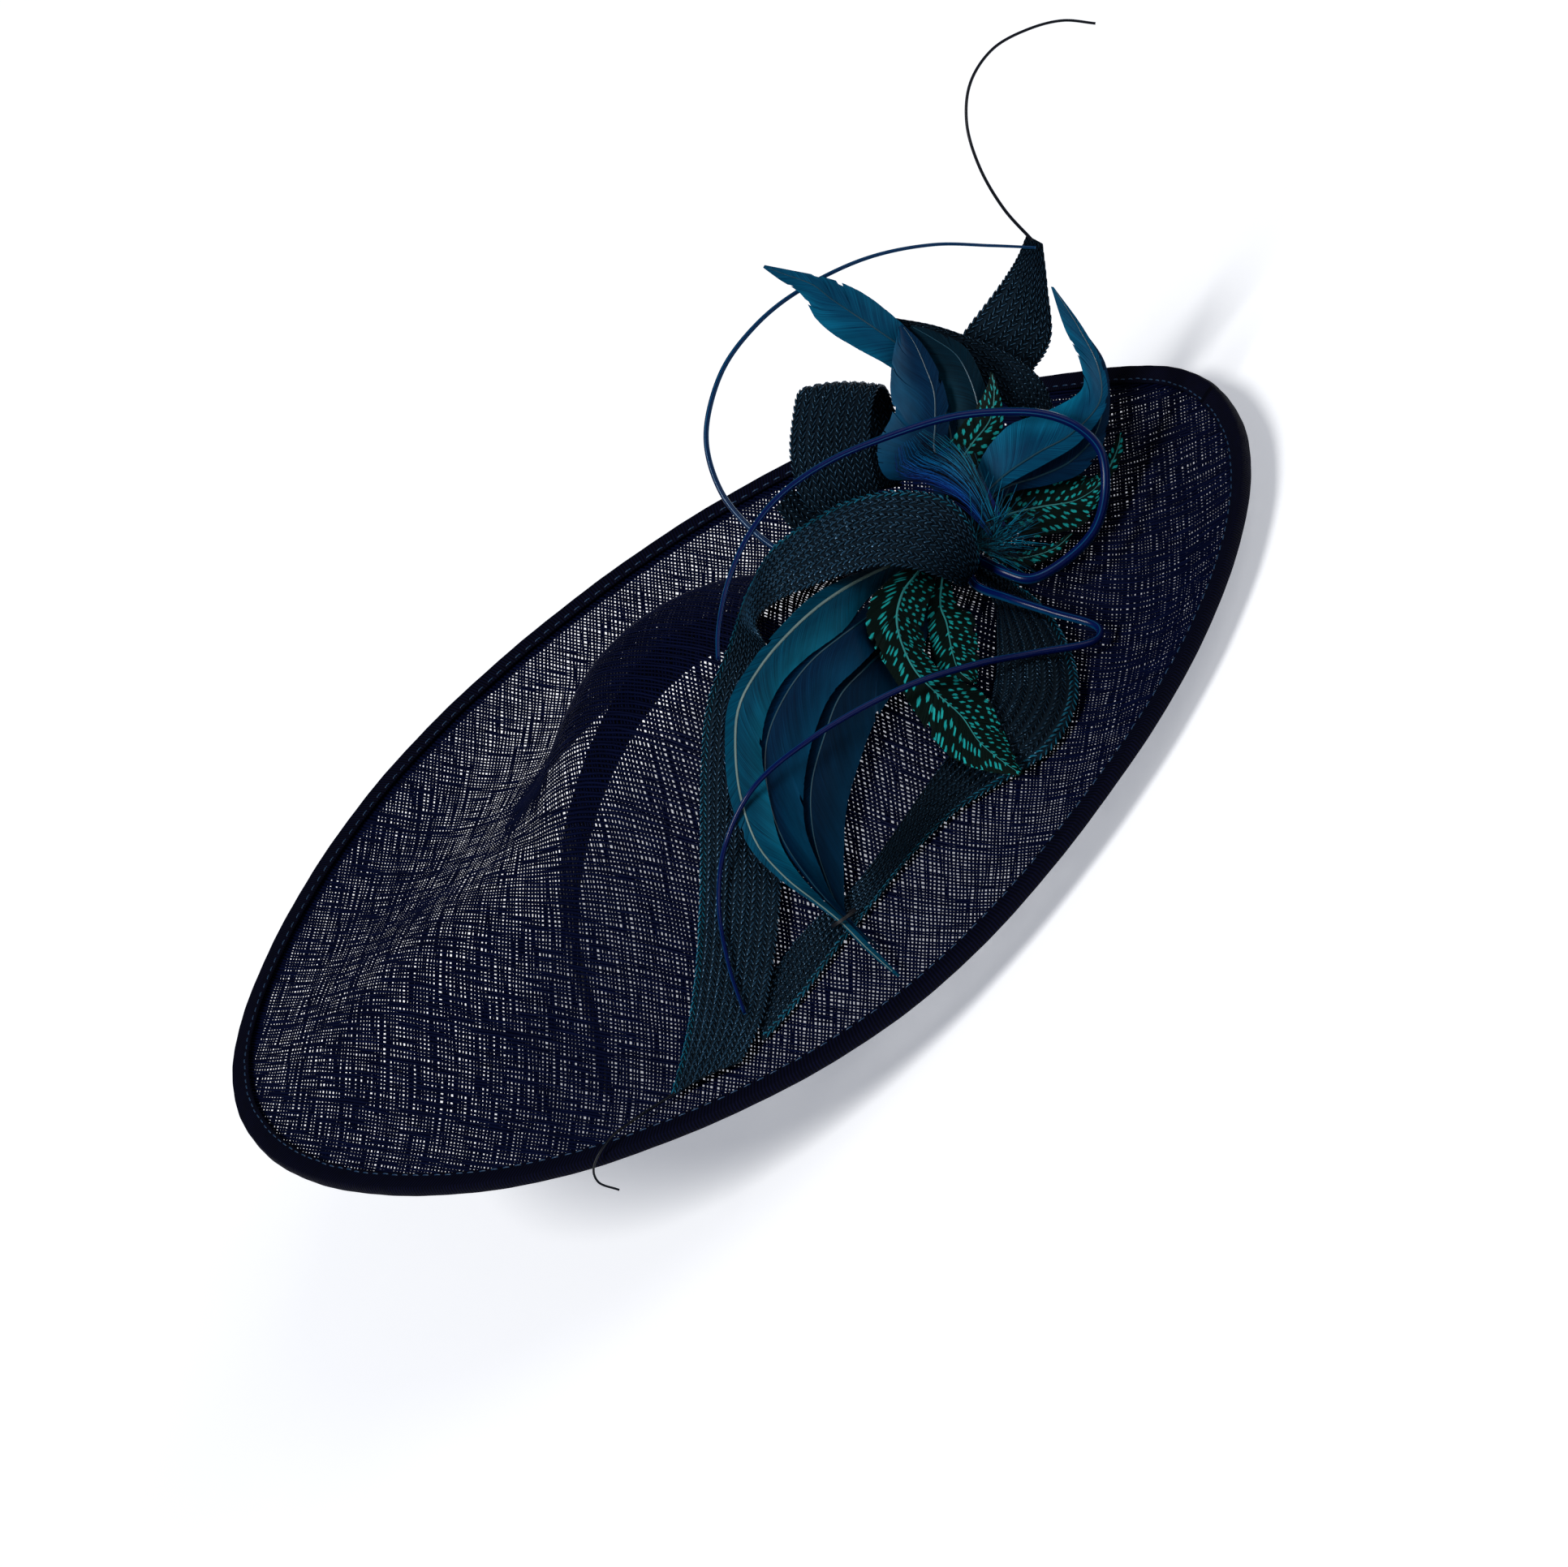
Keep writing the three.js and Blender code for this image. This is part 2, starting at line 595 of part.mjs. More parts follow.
// Goose feathers
const GOOSE_TALL = edges(standing, [
  [1.32, 0.58, -0.02, 1.42, 0.56, -0.02],
  [1.37, 0.8, -0.03, 1.49, 0.8, -0.03],
  [1.34, 0.91, -0.03, 1.48, 0.97, -0.03],
  [1.29, 1.02, -0.02, 1.46, 1.07, -0.02],
  [1.245, 1.13, 0, 1.43, 1.17, 0],
  [1.23, 1.21, 0.01, 1.39, 1.25, 0.01],
  [1.24, 1.31, 0.02, 1.34, 1.32, 0.02],
  [1.205, 1.41, 0.04, 1.25, 1.42, 0.04],
  [1.185, 1.475, 0.05, 1.195, 1.48, 0.05],
]);
const GOOSE_BACK_LEFT = edges(standing, [
  [1.2, 0.48, 0.08, 1.32, 0.44, 0.08],
  [1.09, 0.58, 0.07, 1.34, 0.54, 0.07],
  [1.13, 0.69, 0.06, 1.41, 0.62, 0.06],
  [1.25, 0.76, 0.05, 1.46, 0.72, 0.05],
  [1.3, 0.84, 0.04, 1.485, 0.82, 0.04],
  [1.38, 0.93, 0.03, 1.49, 0.91, 0.03],
  [1.46, 1, 0.02, 1.475, 1, 0.02],
]);
const GOOSE_BACK_RIGHT = edges(standing, [
  [1.36, 0.46, 0.04, 1.45, 0.42, 0.04],
  [1.4, 0.56, 0.03, 1.56, 0.58, 0.03],
  [1.44, 0.66, 0.02, 1.6, 0.69, 0.02],
  [1.465, 0.76, 0.01, 1.61, 0.8, 0.01],
  [1.475, 0.86, 0.005, 1.56, 0.9, 0.005],
  [1.485, 0.97, 0, 1.5, 0.98, 0],
]);
const GOOSE_RIGHT_FRONT = edges(standing, [
  [1.32, 0.36, 0.13, 1.34, 0.3, 0.14],
  [1.43, 0.435, 0.12, 1.46, 0.29, 0.15],
  [1.57, 0.465, 0.11, 1.6, 0.27, 0.15],
  [1.71, 0.425, 0.1, 1.74, 0.26, 0.14],
  [1.87, 0.415, 0.08, 1.9, 0.31, 0.12],
  [1.92, 0.5, 0.06, 1.975, 0.42, 0.08],
  [1.95, 0.64, 0.04, 2.003, 0.58, 0.05],
  [1.998, 0.785, 0.02, 2.006, 0.78, 0.02],
]);
const GOOSE_RIGHT_BACK = edges(standing, [
  [1.4, 0.33, 0.08, 1.43, 0.26, 0.09],
  [1.52, 0.32, 0.08, 1.56, 0.2, 0.09],
  [1.65, 0.31, 0.08, 1.68, 0.165, 0.09],
  [1.78, 0.31, 0.07, 1.8, 0.2, 0.08],
  [1.88, 0.36, 0.05, 1.91, 0.3, 0.06],
  [1.955, 0.5, 0.03, 1.992, 0.44, 0.035],
  [1.993, 0.61, 0.01, 2, 0.6, 0.01],
]);
const GOOSE_LOWER_FIRST = [
  ...edges(standing, [
    [0.8, 0.36, 0.3, 0.77, 0.26, 0.38],
  ]),
  ...edges(lying, [
    [0.62, 0.39, 0.18, 0.62, 0.22, 0.15],
    [0.45, 0.37, 0.14, 0.46, 0.22, 0.14],
    [0.29, 0.33, 0.14, 0.33, 0.2, 0.14],
    [0.13, 0.26, 0.14, 0.2, 0.13, 0.14],
    [0.03, 0.15, 0.145, 0.11, 0.03, 0.145],
    [-0.08, -0.03, 0.145, 0.03, -0.13, 0.145],
    [-0.13, -0.22, 0.13, -0.03, -0.28, 0.13],
    [-0.11, -0.38, 0.13, -0.04, -0.42, 0.13],
    [-0.065, -0.52, 0.13, -0.025, -0.54, 0.13],
    [-0.03, -0.64, 0.13, -0.005, -0.65, 0.13],
    [-0.01, -0.78, 0.1, 0.015, -0.78, 0.1],
    [0.025, -0.93, 0.07, 0.035, -0.93, 0.07],
  ]),
];
const GOOSE_LOWER_SECOND = [
  ...edges(lying, [
    [0.79, 0.24, 0.094, 0.79, 0.12, 0.063],
    [0.62, 0.25, 0.11, 0.6, 0.08, 0.14],
    [0.46, 0.25, 0.11, 0.46, 0.06, 0.115],
    [0.31, 0.22, 0.105, 0.33, -0.01, 0.11],
    [0.15, 0.14, 0.1, 0.18, -0.14, 0.11],
    [0.04, -0.01, 0.1, 0.08, -0.28, 0.11],
    [-0.03, -0.2, 0.1, 0.035, -0.43, 0.11],
    [-0.035, -0.42, 0.105, 0.01, -0.54, 0.11],
    [-0.015, -0.62, 0.105, 0.01, -0.63, 0.105],
    [0.01, -0.76, 0.09, 0.02, -0.76, 0.09],
  ]),
];
const GOOSE_LOWER_THIRD = [
  ...edges(lying, [
    [0.8, 0.11, 0.023, 0.82, -0.01, 0.104],
    [0.62, 0.1, 0.065, 0.62, -0.08, 0.08],
    [0.46, 0.08, 0.072, 0.5, -0.13, 0.075],
    [0.33, 0, 0.07, 0.38, -0.21, 0.075],
    [0.17, -0.13, 0.07, 0.25, -0.31, 0.075],
    [0.08, -0.27, 0.07, 0.14, -0.44, 0.075],
    [0.03, -0.43, 0.07, 0.06, -0.55, 0.085],
    [-0.005, -0.62, 0.09, 0.012, -0.63, 0.09],
    [0.03, -0.8, 0.055, 0.038, -0.8, 0.055],
  ]),
];

// Guinea fowl feathers
const GUINEA_LOWER_LEFT = [
  ...edges(standing, [
    [0.9, 0.27, 0.34, 1.01, 0.17, 0.3],
  ]),
  ...edges(lying, [
    [0.78, 0.25, 0.23, 0.96, 0.13, 0.26],
    [0.7, 0.17, 0.18, 0.9, 0.09, 0.2],
    [0.68, 0.06, 0.16, 0.84, 0.01, 0.17],
    [0.67, -0.06, 0.15, 0.82, -0.09, 0.16],
    [0.66, -0.2, 0.16, 0.86, -0.19, 0.16],
    [0.66, -0.32, 0.17, 0.9, -0.28, 0.17],
    [0.68, -0.42, 0.17, 0.88, -0.41, 0.17],
    [0.75, -0.52, 0.17, 0.86, -0.51, 0.16],
    [0.83, -0.6, 0.13, 0.845, -0.6, 0.13],
  ]),
];
const GUINEA_LOWER_RIGHT = edges(lying, [
  [0.93, 0.1, 0.17, 1.02, 0.05, 0.17],
  [0.88, 0.03, 0.14, 1.04, -0.02, 0.18],
  [0.84, -0.06, 0.12, 1, -0.1, 0.16],
  [0.83, -0.14, 0.12, 0.95, -0.18, 0.15],
  [0.89, -0.22, 0.13, 0.905, -0.23, 0.13],
]);
const GUINEA_RIGHT = edges(standing, [
  [1.38, 0.3, 0.03, 1.36, 0.11, 0.12],
  [1.5, 0.27, 0.02, 1.46, 0.05, 0.1],
  [1.61, 0.2, 0.02, 1.57, 0.01, 0.08],
  [1.69, 0.14, 0.03, 1.66, 0.04, 0.06],
  [1.73, 0.105, 0.04, 1.732, 0.095, 0.04],
]);
const GUINEA_RIGHT_LOW = edges(standing, [
  [1.31, 0.08, 0.15, 1.29, 0.02, 0.17],
  [1.43, 0.02, 0.14, 1.42, -0.02, 0.15],
  [1.52, 0.01, 0.12, 1.522, 0, 0.12],
]);
const GUINEA_TOP = edges(standing, [
  [1.28, 0.49, 0.13, 1.3, 0.4, 0.13],
  [1.4, 0.56, 0.09, 1.42, 0.42, 0.09],
  [1.51, 0.59, 0.07, 1.54, 0.46, 0.07],
  [1.6, 0.635, 0.06, 1.61, 0.58, 0.06],
  [1.63, 0.665, 0.05, 1.635, 0.655, 0.05],
]);
const GUINEA_TIP = edges(standing, [
  [1.66, 0.11, 0.022, 1.68, 0.07, 0.03],
  [1.76, 0.14, 0.01, 1.79, 0.1, 0.015],
  [1.84, 0.18, 0, 1.86, 0.15, 0],
  [1.88, 0.2, -0.01, 1.886, 0.195, -0.01],
]);

// Tuft of fine barbs
const TUFT = edges(standing, [
  [1.22, 0.18, 0.24, 1.34, 0.14, 0.22],
  [1.22, 0.26, 0.24, 1.37, 0.24, 0.21],
  [1.22, 0.35, 0.22, 1.39, 0.35, 0.19],
  [1.18, 0.46, 0.19, 1.39, 0.46, 0.16],
  [1.12, 0.56, 0.13, 1.35, 0.56, 0.13],
  [1.18, 0.64, 0.11, 1.3, 0.64, 0.11],
]);

// Quills
const QUILL_A = route(standing, [
  [1.24, 0.03, 0.22], [1.3, -0.04, 0.26], [1.45, -0.06, 0.24], [1.6, -0.03, 0.22],
  [1.72, 0.07, 0.2], [1.785, 0.19, 0.2], [1.77, 0.31, 0.2], [1.7, 0.42, 0.2],
  [1.58, 0.52, 0.2], [1.41, 0.62, 0.22], [1.18, 0.7, 0.25], [0.95, 0.755, 0.28],
  [0.73, 0.76, 0.31], [0.55, 0.71, 0.35], [0.38, 0.61, 0.42], [0.25, 0.49, 0.54],
  [0.19, 0.41, 0.6],
]);
const QUILL_B = route(standing, [
  [0.84, 0.34, 0.2], [0.7, 0.46, 0.26], [0.62, 0.58, 0.12], [0.58, 0.7, 0.06],
  [0.565, 0.88, 0], [0.61, 1.04, -0.04], [0.68, 1.14, -0.06], [0.84, 1.26, -0.08],
  [1.01, 1.315, -0.09], [1.2, 1.33, -0.1], [1.5, 1.28, -0.12], [1.74, 1.17, -0.13],
  [1.91, 1.04, -0.14], [2.04, 0.935, -0.144],
]);
const QUILL_C = route(lying, [
  [1.12, 0.065, 0.155], [1.19, -0.05, 0.2], [1.29, -0.19, 0.18], [1.39, -0.33, 0.12],
  [1.355, -0.365, 0.13], [1.15, -0.27, 0.2], [0.94, -0.17, 0.25], [0.67, -0.08, 0.25],
  [0.29, -0.03, 0.22], [0.01, -0.05, 0.2], [-0.2, -0.16, 0.13], [-0.34, -0.31, 0.115],
  [-0.45, -0.52, 0.13], [-0.51, -0.7, 0.13],
]);
const QUILL_D = route(standing, [
  [2.045, 0.965, -0.138], [2.03, 1.12, -0.14], [2.05, 1.3, -0.14], [2.11, 1.46, -0.14],
  [2.21, 1.57, -0.14], [2.35, 1.62, -0.14], [2.5, 1.6, -0.14], [2.62, 1.55, -0.14],
  [2.71, 1.47, -0.14],
]);
const FILAMENT = route(lying, [
  [-0.89, -0.785, 0.077], [-1.04, -0.775, 0.07], [-1.2, -0.78, 0.12], [-1.3, -0.83, 0.1],
  [-1.315, -0.88, 0.11], [-1.27, -0.95, 0.09],
]);

// Thread that binds the three lower feathers together
const TIE_ACROSS = -0.005;
const TIE_UP = -0.635;
const TIE_LIFT = 0.121;
const TIE_HALF_WIDTH = 5;
const TIE_HALF_DEPTH = 5.4;
const TIE_STATIONS = 16;

function lowerTie() {
  const centre = lying(TIE_ACROSS, TIE_UP, TIE_LIFT);
  const rings = [];
  for (let i = 0; i < TIE_STATIONS; i += 1) {
    const turn = (2 * Math.PI * i) / TIE_STATIONS;
    const out = V(0, 0, 0).addScaledVector(ACROSS, Math.cos(turn) * TIE_HALF_WIDTH)
      .addScaledVector(FORWARD, Math.sin(turn) * TIE_HALF_DEPTH);
    const ring = [];
    for (let j = 0; j < QUILL_SIDES; j += 1) {
      const angle = (2 * Math.PI * j) / QUILL_SIDES;
      ring.push(centre.clone().add(out)
        .addScaledVector(out.clone().normalize(), (THREAD_WIDTH / 2) * Math.cos(angle))
        .addScaledVector(UP, (THREAD_WIDTH / 2) * Math.sin(angle)));
    }
    rings.push(ring);
  }
  return bodyFromRings(rings, true);
}

const finish = (color, roughness, metalness = 0) => (
  new THREE.MeshStandardMaterial({ color, roughness, metalness })
);
const sinamay = finish(0x1b2350, 0.75);
const petersham = finish(0x151a38, 0.8);
const satin = finish(0x1a1838, 0.4);
const felt = finish(0x10202c, 0.95);
const straw = finish(0x1b3442, 0.55);
const goose = finish(0x0d6f85, 0.6);
const guinea = finish(0x2f3a32, 0.6);
const barbs = finish(0x1b6d8c, 0.5);
const strippedQuill = finish(0x123a7a, 0.3);
const thread = finish(0x0c0c12, 0.7);

const hat = new THREE.Group();
const add = (name, geometry, material) => {
  const mesh = new THREE.Mesh(geometry, material);
  mesh.name = name;
  hat.add(mesh);
};

add('crown_and_brim', clothGeometry, sinamay);
add('brim_binding', bindingGeometry, petersham);
add('headband', headband(), satin);
add('trim_pad', trimPad(), felt);

const wide = { thick: STRAW, points: STRAW_POINTS };
add('straw_front_loop', strip({ rows: FRONT_LOOP, steps: 34, ...wide }), straw);
add('straw_right_loop', strip({ rows: RIGHT_LOOP, steps: 28, ...wide }), straw);
add('straw_upright_loop', strip({ rows: UPRIGHT_LOOP, steps: 22, ...wide }), straw);
add('straw_short_end', strip({ rows: SHORT_END, steps: 8, ...wide }), straw);
add('straw_pointed_end', strip({ rows: POINTED_END, steps: 10, ...wide }), straw);
add('straw_back_loop', strip({ rows: BACK_LOOP, steps: 16, ...wide }), straw);

add('goose_tall', strip({ rows: GOOSE_TALL, thick: FEATHER, steps: 18 }), goose);
add('goose_back_left', strip({ rows: GOOSE_BACK_LEFT, thick: FEATHER, steps: 12 }), goose);
add('goose_back_right', strip({ rows: GOOSE_BACK_RIGHT, thick: FEATHER, steps: 12 }), goose);
add('goose_right_front', strip({ rows: GOOSE_RIGHT_FRONT, thick: FEATHER, steps: 16 }), goose);
add('goose_right_back', strip({ rows: GOOSE_RIGHT_BACK, thick: FEATHER, steps: 14 }), goose);
add('goose_lower_first', strip({ rows: GOOSE_LOWER_FIRST, thick: FEATHER, steps: 26 }), goose);
add('goose_lower_second', strip({ rows: GOOSE_LOWER_SECOND, thick: FEATHER, steps: 20 }), goose);
add('goose_lower_third', strip({ rows: GOOSE_LOWER_THIRD, thick: FEATHER, steps: 18 }), goose);
add('lower_tie', lowerTie(), thread);

add('guinea_lower_left', strip({ rows: GUINEA_LOWER_LEFT, thick: FEATHER, steps: 18 }), guinea);
add('guinea_lower_right', strip({ rows: GUINEA_LOWER_RIGHT, thick: FEATHER, steps: 10 }), guinea);
add('guinea_right', strip({ rows: GUINEA_RIGHT, thick: FEATHER, steps: 12 }), guinea);
add('guinea_right_low', strip({ rows: GUINEA_RIGHT_LOW, thick: FEATHER, steps: 8 }), guinea);
add('guinea_top', strip({ rows: GUINEA_TOP, thick: FEATHER, steps: 10 }), guinea);
add('guinea_tip', strip({ rows: GUINEA_TIP, thick: FEATHER, steps: 6, rooted: false }), guinea);
add('peacock_tuft', strip({ rows: TUFT, thick: FEATHER, steps: 12 }), barbs);

add('quill_a', quill({ points: QUILL_A, width: QUILL_A_WIDTH, steps: 34 }), strippedQuill);
add('quill_b', quill({ points: QUILL_B, width: QUILL_B_WIDTH, steps: 28 }), strippedQuill);
add('quill_c', quill({ points: QUILL_C, width: QUILL_C_WIDTH, steps: 38 }), strippedQuill);
const fine = { taper: FINE_TAPER, rooted: false };
const tip = quill({ points: QUILL_D, width: FINE_QUILL_WIDTH, steps: 20, ...fine });
add('quill_d', tip, strippedQuill);
const wisp = quill({ points: FILAMENT, width: FILAMENT_WIDTH, steps: 14, ...fine });
add('filament', wisp, strippedQuill);

// Stand the hat on its two band ends and its rim, centred over the origin
hat.quaternion.setFromUnitVectors(floorUp, V(0, 0, 1));
hat.updateMatrixWorld(true);
const box = new THREE.Box3().setFromObject(hat, true);
const middle = box.getCenter(V(0, 0, 0));
hat.position.set(-middle.x, -middle.y, -box.min.z);

const group = new THREE.Group();
group.add(hat);
group.updateMatrixWorld(true);

export default group;
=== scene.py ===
# %% [markdown]
# # Oval saucer hat of open woven straw cloth
#
# The hat is a wide saucer of dyed sinamay, an open cloth woven from plant fibre. Its
# rim is bound with ribbed ribbon, and a trim of plaited straw bands, goose and guinea
# fowl feathers, a tuft of fine barbs and glossy bare quills is sewn to its right side.
# Each piece is made here in mesh code, in the place of the plain solid that the
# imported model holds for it.

import math

import bpy
import numpy as np
from mathutils import Matrix, Vector


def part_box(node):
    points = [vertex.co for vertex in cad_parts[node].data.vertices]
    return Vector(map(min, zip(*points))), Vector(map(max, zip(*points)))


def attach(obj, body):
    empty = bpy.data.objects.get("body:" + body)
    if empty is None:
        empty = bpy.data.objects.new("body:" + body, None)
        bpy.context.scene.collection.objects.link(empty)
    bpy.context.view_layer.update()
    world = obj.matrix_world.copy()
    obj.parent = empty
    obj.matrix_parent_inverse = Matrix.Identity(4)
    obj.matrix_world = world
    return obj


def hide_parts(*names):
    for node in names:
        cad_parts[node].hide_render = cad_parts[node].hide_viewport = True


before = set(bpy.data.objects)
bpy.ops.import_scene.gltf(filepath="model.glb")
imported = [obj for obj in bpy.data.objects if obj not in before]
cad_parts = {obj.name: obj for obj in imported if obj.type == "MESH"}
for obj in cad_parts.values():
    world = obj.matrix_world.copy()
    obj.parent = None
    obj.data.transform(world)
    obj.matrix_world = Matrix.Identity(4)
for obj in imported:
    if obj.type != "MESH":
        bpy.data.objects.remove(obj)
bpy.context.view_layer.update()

# %% [markdown]
# The hat is laid out in millimetres with its rim in the XY plane, as its maker would
# draw it: long way along X, front towards -Y. It then leans over to stand on the two
# ends of its headband and the lowest fold of its brim. One rotation and one shift take
# it from the layout to the place where it stands.

# %% The hat's sizes and directions
BRIM_HALF_LENGTH = 225
BRIM_HALF_WIDTH = 195
CROWN_HEIGHT = 66
CROWN_CENTRE = np.array([5.0, 5.0])
CLOTH = 1.5
RIBBON = 1.0
BINDING_WIDTH = 8
CLEAR = 0.3
TRIM_REACH = 100
EDGE_HALF_LENGTH = BRIM_HALF_LENGTH - RIBBON - CLEAR
EDGE_HALF_WIDTH = BRIM_HALF_WIDTH - RIBBON - CLEAR

FRONT_LEAN = math.radians(30)
ACROSS = np.array([1.0, 0.0, 0.0])
UP = np.array([0.0, math.sin(FRONT_LEAN), math.cos(FRONT_LEAN)])
FORWARD = np.array([0.0, -math.cos(FRONT_LEAN), math.sin(FRONT_LEAN)])

REST_TILT = math.radians(14.2)
REST_BEARING = math.radians(-34)
floor_up = Vector((
    -math.sin(REST_TILT) * math.cos(REST_BEARING),
    -math.sin(REST_TILT) * math.sin(REST_BEARING),
    math.cos(REST_TILT),
))
lean = np.array(floor_up.rotation_difference(Vector((0, 0, 1))).to_matrix())
print("the hat leans by", round(math.degrees(REST_TILT), 1), "degrees")


def unit(vectors):
    """Vectors of length 1 along the given ones"""
    length = np.linalg.norm(vectors, axis=-1, keepdims=True)
    return vectors / np.maximum(length, 1e-12)


def lengths_along(points):
    """How far along a line each of its points lies"""
    return np.concatenate([[0], np.cumsum(np.linalg.norm(np.diff(points, axis=0), axis=1))])


# %% [markdown]
# The cloth is blocked, which means steamed over a wooden form until it keeps its
# shape. The form is a table: a row for a direction round the hat, a column for a
# place between the crown's centre and the rim, and a height at each. Curves through
# both give a smooth height anywhere.

# %% The form of the cloth
RING_SHARES = np.array([0, 0.12, 0.2, 0.28, 0.36, 0.46, 0.58, 0.7, 0.82, 0.92, 1])
PROFILES = np.array([
    [1, 0.95, 0.83, 0.64, 0.42, 0.17, -0.05, -0.14, -0.04, 0.1, 0.21],
    [1, 0.95, 0.83, 0.63, 0.4, 0.15, -0.06, -0.16, -0.14, -0.07, 0],
    [1, 0.95, 0.84, 0.65, 0.43, 0.17, -0.04, -0.13, -0.12, -0.05, 0],
    [1, 0.955, 0.85, 0.68, 0.46, 0.2, -0.02, -0.11, -0.11, -0.05, 0],
    [1, 0.955, 0.85, 0.67, 0.43, 0.17, 0, -0.07, -0.07, -0.02, 0.02],
    [1, 0.955, 0.83, 0.63, 0.41, 0.23, 0.14, 0.07, 0.03, 0.02, 0.025],
    [1, 0.955, 0.83, 0.64, 0.45, 0.37, 0.36, 0.31, 0.22, 0.16, 0.14],
    [1, 0.955, 0.85, 0.69, 0.5, 0.36, 0.28, 0.2, 0.15, 0.15, 0.18],
    [1, 0.96, 0.865, 0.72, 0.55, 0.38, 0.24, 0.14, 0.08, 0.07, 0.09],
    [1, 0.96, 0.87, 0.74, 0.59, 0.41, 0.24, 0.11, 0.04, 0.02, 0.02],
    [1, 0.955, 0.86, 0.71, 0.53, 0.32, 0.12, 0.03, 0.05, 0.13, 0.2],
    [1, 0.955, 0.84, 0.66, 0.45, 0.21, 0, -0.1, -0.02, 0.14, 0.29],
])
row_count = len(PROFILES)
last_ring = len(RING_SHARES) - 1
slopes = np.zeros_like(PROFILES)
for ring in range(1, last_ring + 1):
    after = min(ring + 1, last_ring)
    rise = PROFILES[:, after] - PROFILES[:, ring - 1]
    slopes[:, ring] = rise / (RING_SHARES[after] - RING_SHARES[ring - 1])


def height_in_row(row, share):
    """Height along one row of the table"""
    i = np.clip(np.searchsorted(RING_SHARES, share, side="left") - 1, 0, last_ring - 1)
    step = RING_SHARES[i + 1] - RING_SHARES[i]
    t = (share - RING_SHARES[i]) / step
    row = np.mod(row, row_count)
    here, there = PROFILES[row, i], PROFILES[row, i + 1]
    leave, arrive = t * (1 - t) ** 2, t * t * (t - 1)
    return (here + (there - here) * t * t * (3 - 2 * t)
            + step * (leave * slopes[row, i] + arrive * slopes[row, i + 1]))


def cloth_height(angle, share):
    """Height of the cloth in a direction from the centre, at a share of the way out"""
    turn = np.asarray(angle) / (2 * math.pi) * row_count
    row = np.floor(turn).astype(int)
    t = turn - row
    before, here, there, after = (height_in_row(row + k, share) for k in (-1, 0, 1, 2))
    blend = here + 0.5 * t * (there - before + t * (2 * before - 5 * here + 4 * there
                              - after + t * (3 * (here - there) + after - before)))
    return CROWN_HEIGHT * blend


def cloth_point(angle, share):
    """A place on the cloth"""
    x = CROWN_CENTRE[0] * (1 - share) + share * EDGE_HALF_LENGTH * np.cos(angle)
    y = CROWN_CENTRE[1] * (1 - share) + share * EDGE_HALF_WIDTH * np.sin(angle)
    return np.stack(np.broadcast_arrays(x, y, cloth_height(angle, share)), axis=-1)


def height_over(x, y):
    """Height of the cloth over a place in the rim's plane"""
    radii = np.array([EDGE_HALF_LENGTH, EDGE_HALF_WIDTH])
    across, along = np.asarray(x) - CROWN_CENTRE[0], np.asarray(y) - CROWN_CENTRE[1]
    square = np.sum((CROWN_CENTRE / radii) ** 2) - 1
    middle = (across * CROWN_CENTRE[0] / radii[0] ** 2
              + along * CROWN_CENTRE[1] / radii[1] ** 2)
    rest = (across / radii[0]) ** 2 + (along / radii[1]) ** 2
    share = (-middle - np.sqrt(middle ** 2 - square * rest)) / square
    cosine = (across + CROWN_CENTRE[0] * share) / radii[0]
    sine = (along + CROWN_CENTRE[1] * share) / radii[1]
    return cloth_height(np.arctan2(sine, cosine), np.minimum(share, 1))


def cloth_normal(x, y):
    """Direction off the upper side of the cloth, over a place in the rim's plane"""
    step = 0.5
    slope_x = (height_over(x + step, y) - height_over(x - step, y)) / (2 * step)
    slope_y = (height_over(x, y + step) - height_over(x, y - step)) / (2 * step)
    return unit(np.stack([-slope_x, -slope_y, np.ones_like(slope_x)], axis=-1))


# %% The shift from the layout to where the hat stands
turns, outward = np.meshgrid(np.linspace(0, 2 * math.pi, 256), np.linspace(0.02, 1, 60))
leaning = cloth_point(turns, outward).reshape(-1, 3) @ lean.T
cad_low, cad_high = (np.array(corner) * 1000 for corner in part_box("crown_and_brim"))
shift = (cad_low + cad_high) / 2 - (leaning.min(axis=0) + leaning.max(axis=0)) / 2
print("the rim's centre stands at", np.round(shift, 2), "mm")


def to_row(points):
    """From the layout in millimetres to the place in the scene, in metres"""
    return (np.asarray(points) @ lean.T + shift) / 1000


# %% [markdown]
# Every piece is a mesh from lists of places and faces. A texture map, in real
# millimetres along and across the piece, goes with it, so that each material can
# draw threads, ribs or barbs at their true size. One function makes the mesh and
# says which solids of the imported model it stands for.

# %% Meshes and their texture maps
shown = {}


def make_piece(name, places, faces, material, slot, uv=None, stands_for=()):
    """A piece of the hat, from places in layout millimetres"""
    mesh = bpy.data.meshes.new(name)
    if isinstance(faces, np.ndarray):
        faces = faces.tolist()
    mesh.from_pydata(to_row(places), [], faces)
    if uv is not None:
        corners = np.empty(len(mesh.loops), dtype=np.int32)
        mesh.loops.foreach_get("vertex_index", corners)
        layer = mesh.uv_layers.new(name="millimetres")
        layer.data.foreach_set("uv", np.asarray(uv, dtype=np.float32)[corners].ravel())
    mesh.materials.append(material)
    mesh.shade_smooth()
    piece = bpy.data.objects.new(name, mesh)
    bpy.context.scene.collection.objects.link(piece)
    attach(piece, "root")
    if stands_for:
        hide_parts(*stands_for)
    shown[name] = sum(len(face) - 2 for face in faces)
    print(f"{name}: {shown[name]} triangles")
    return piece


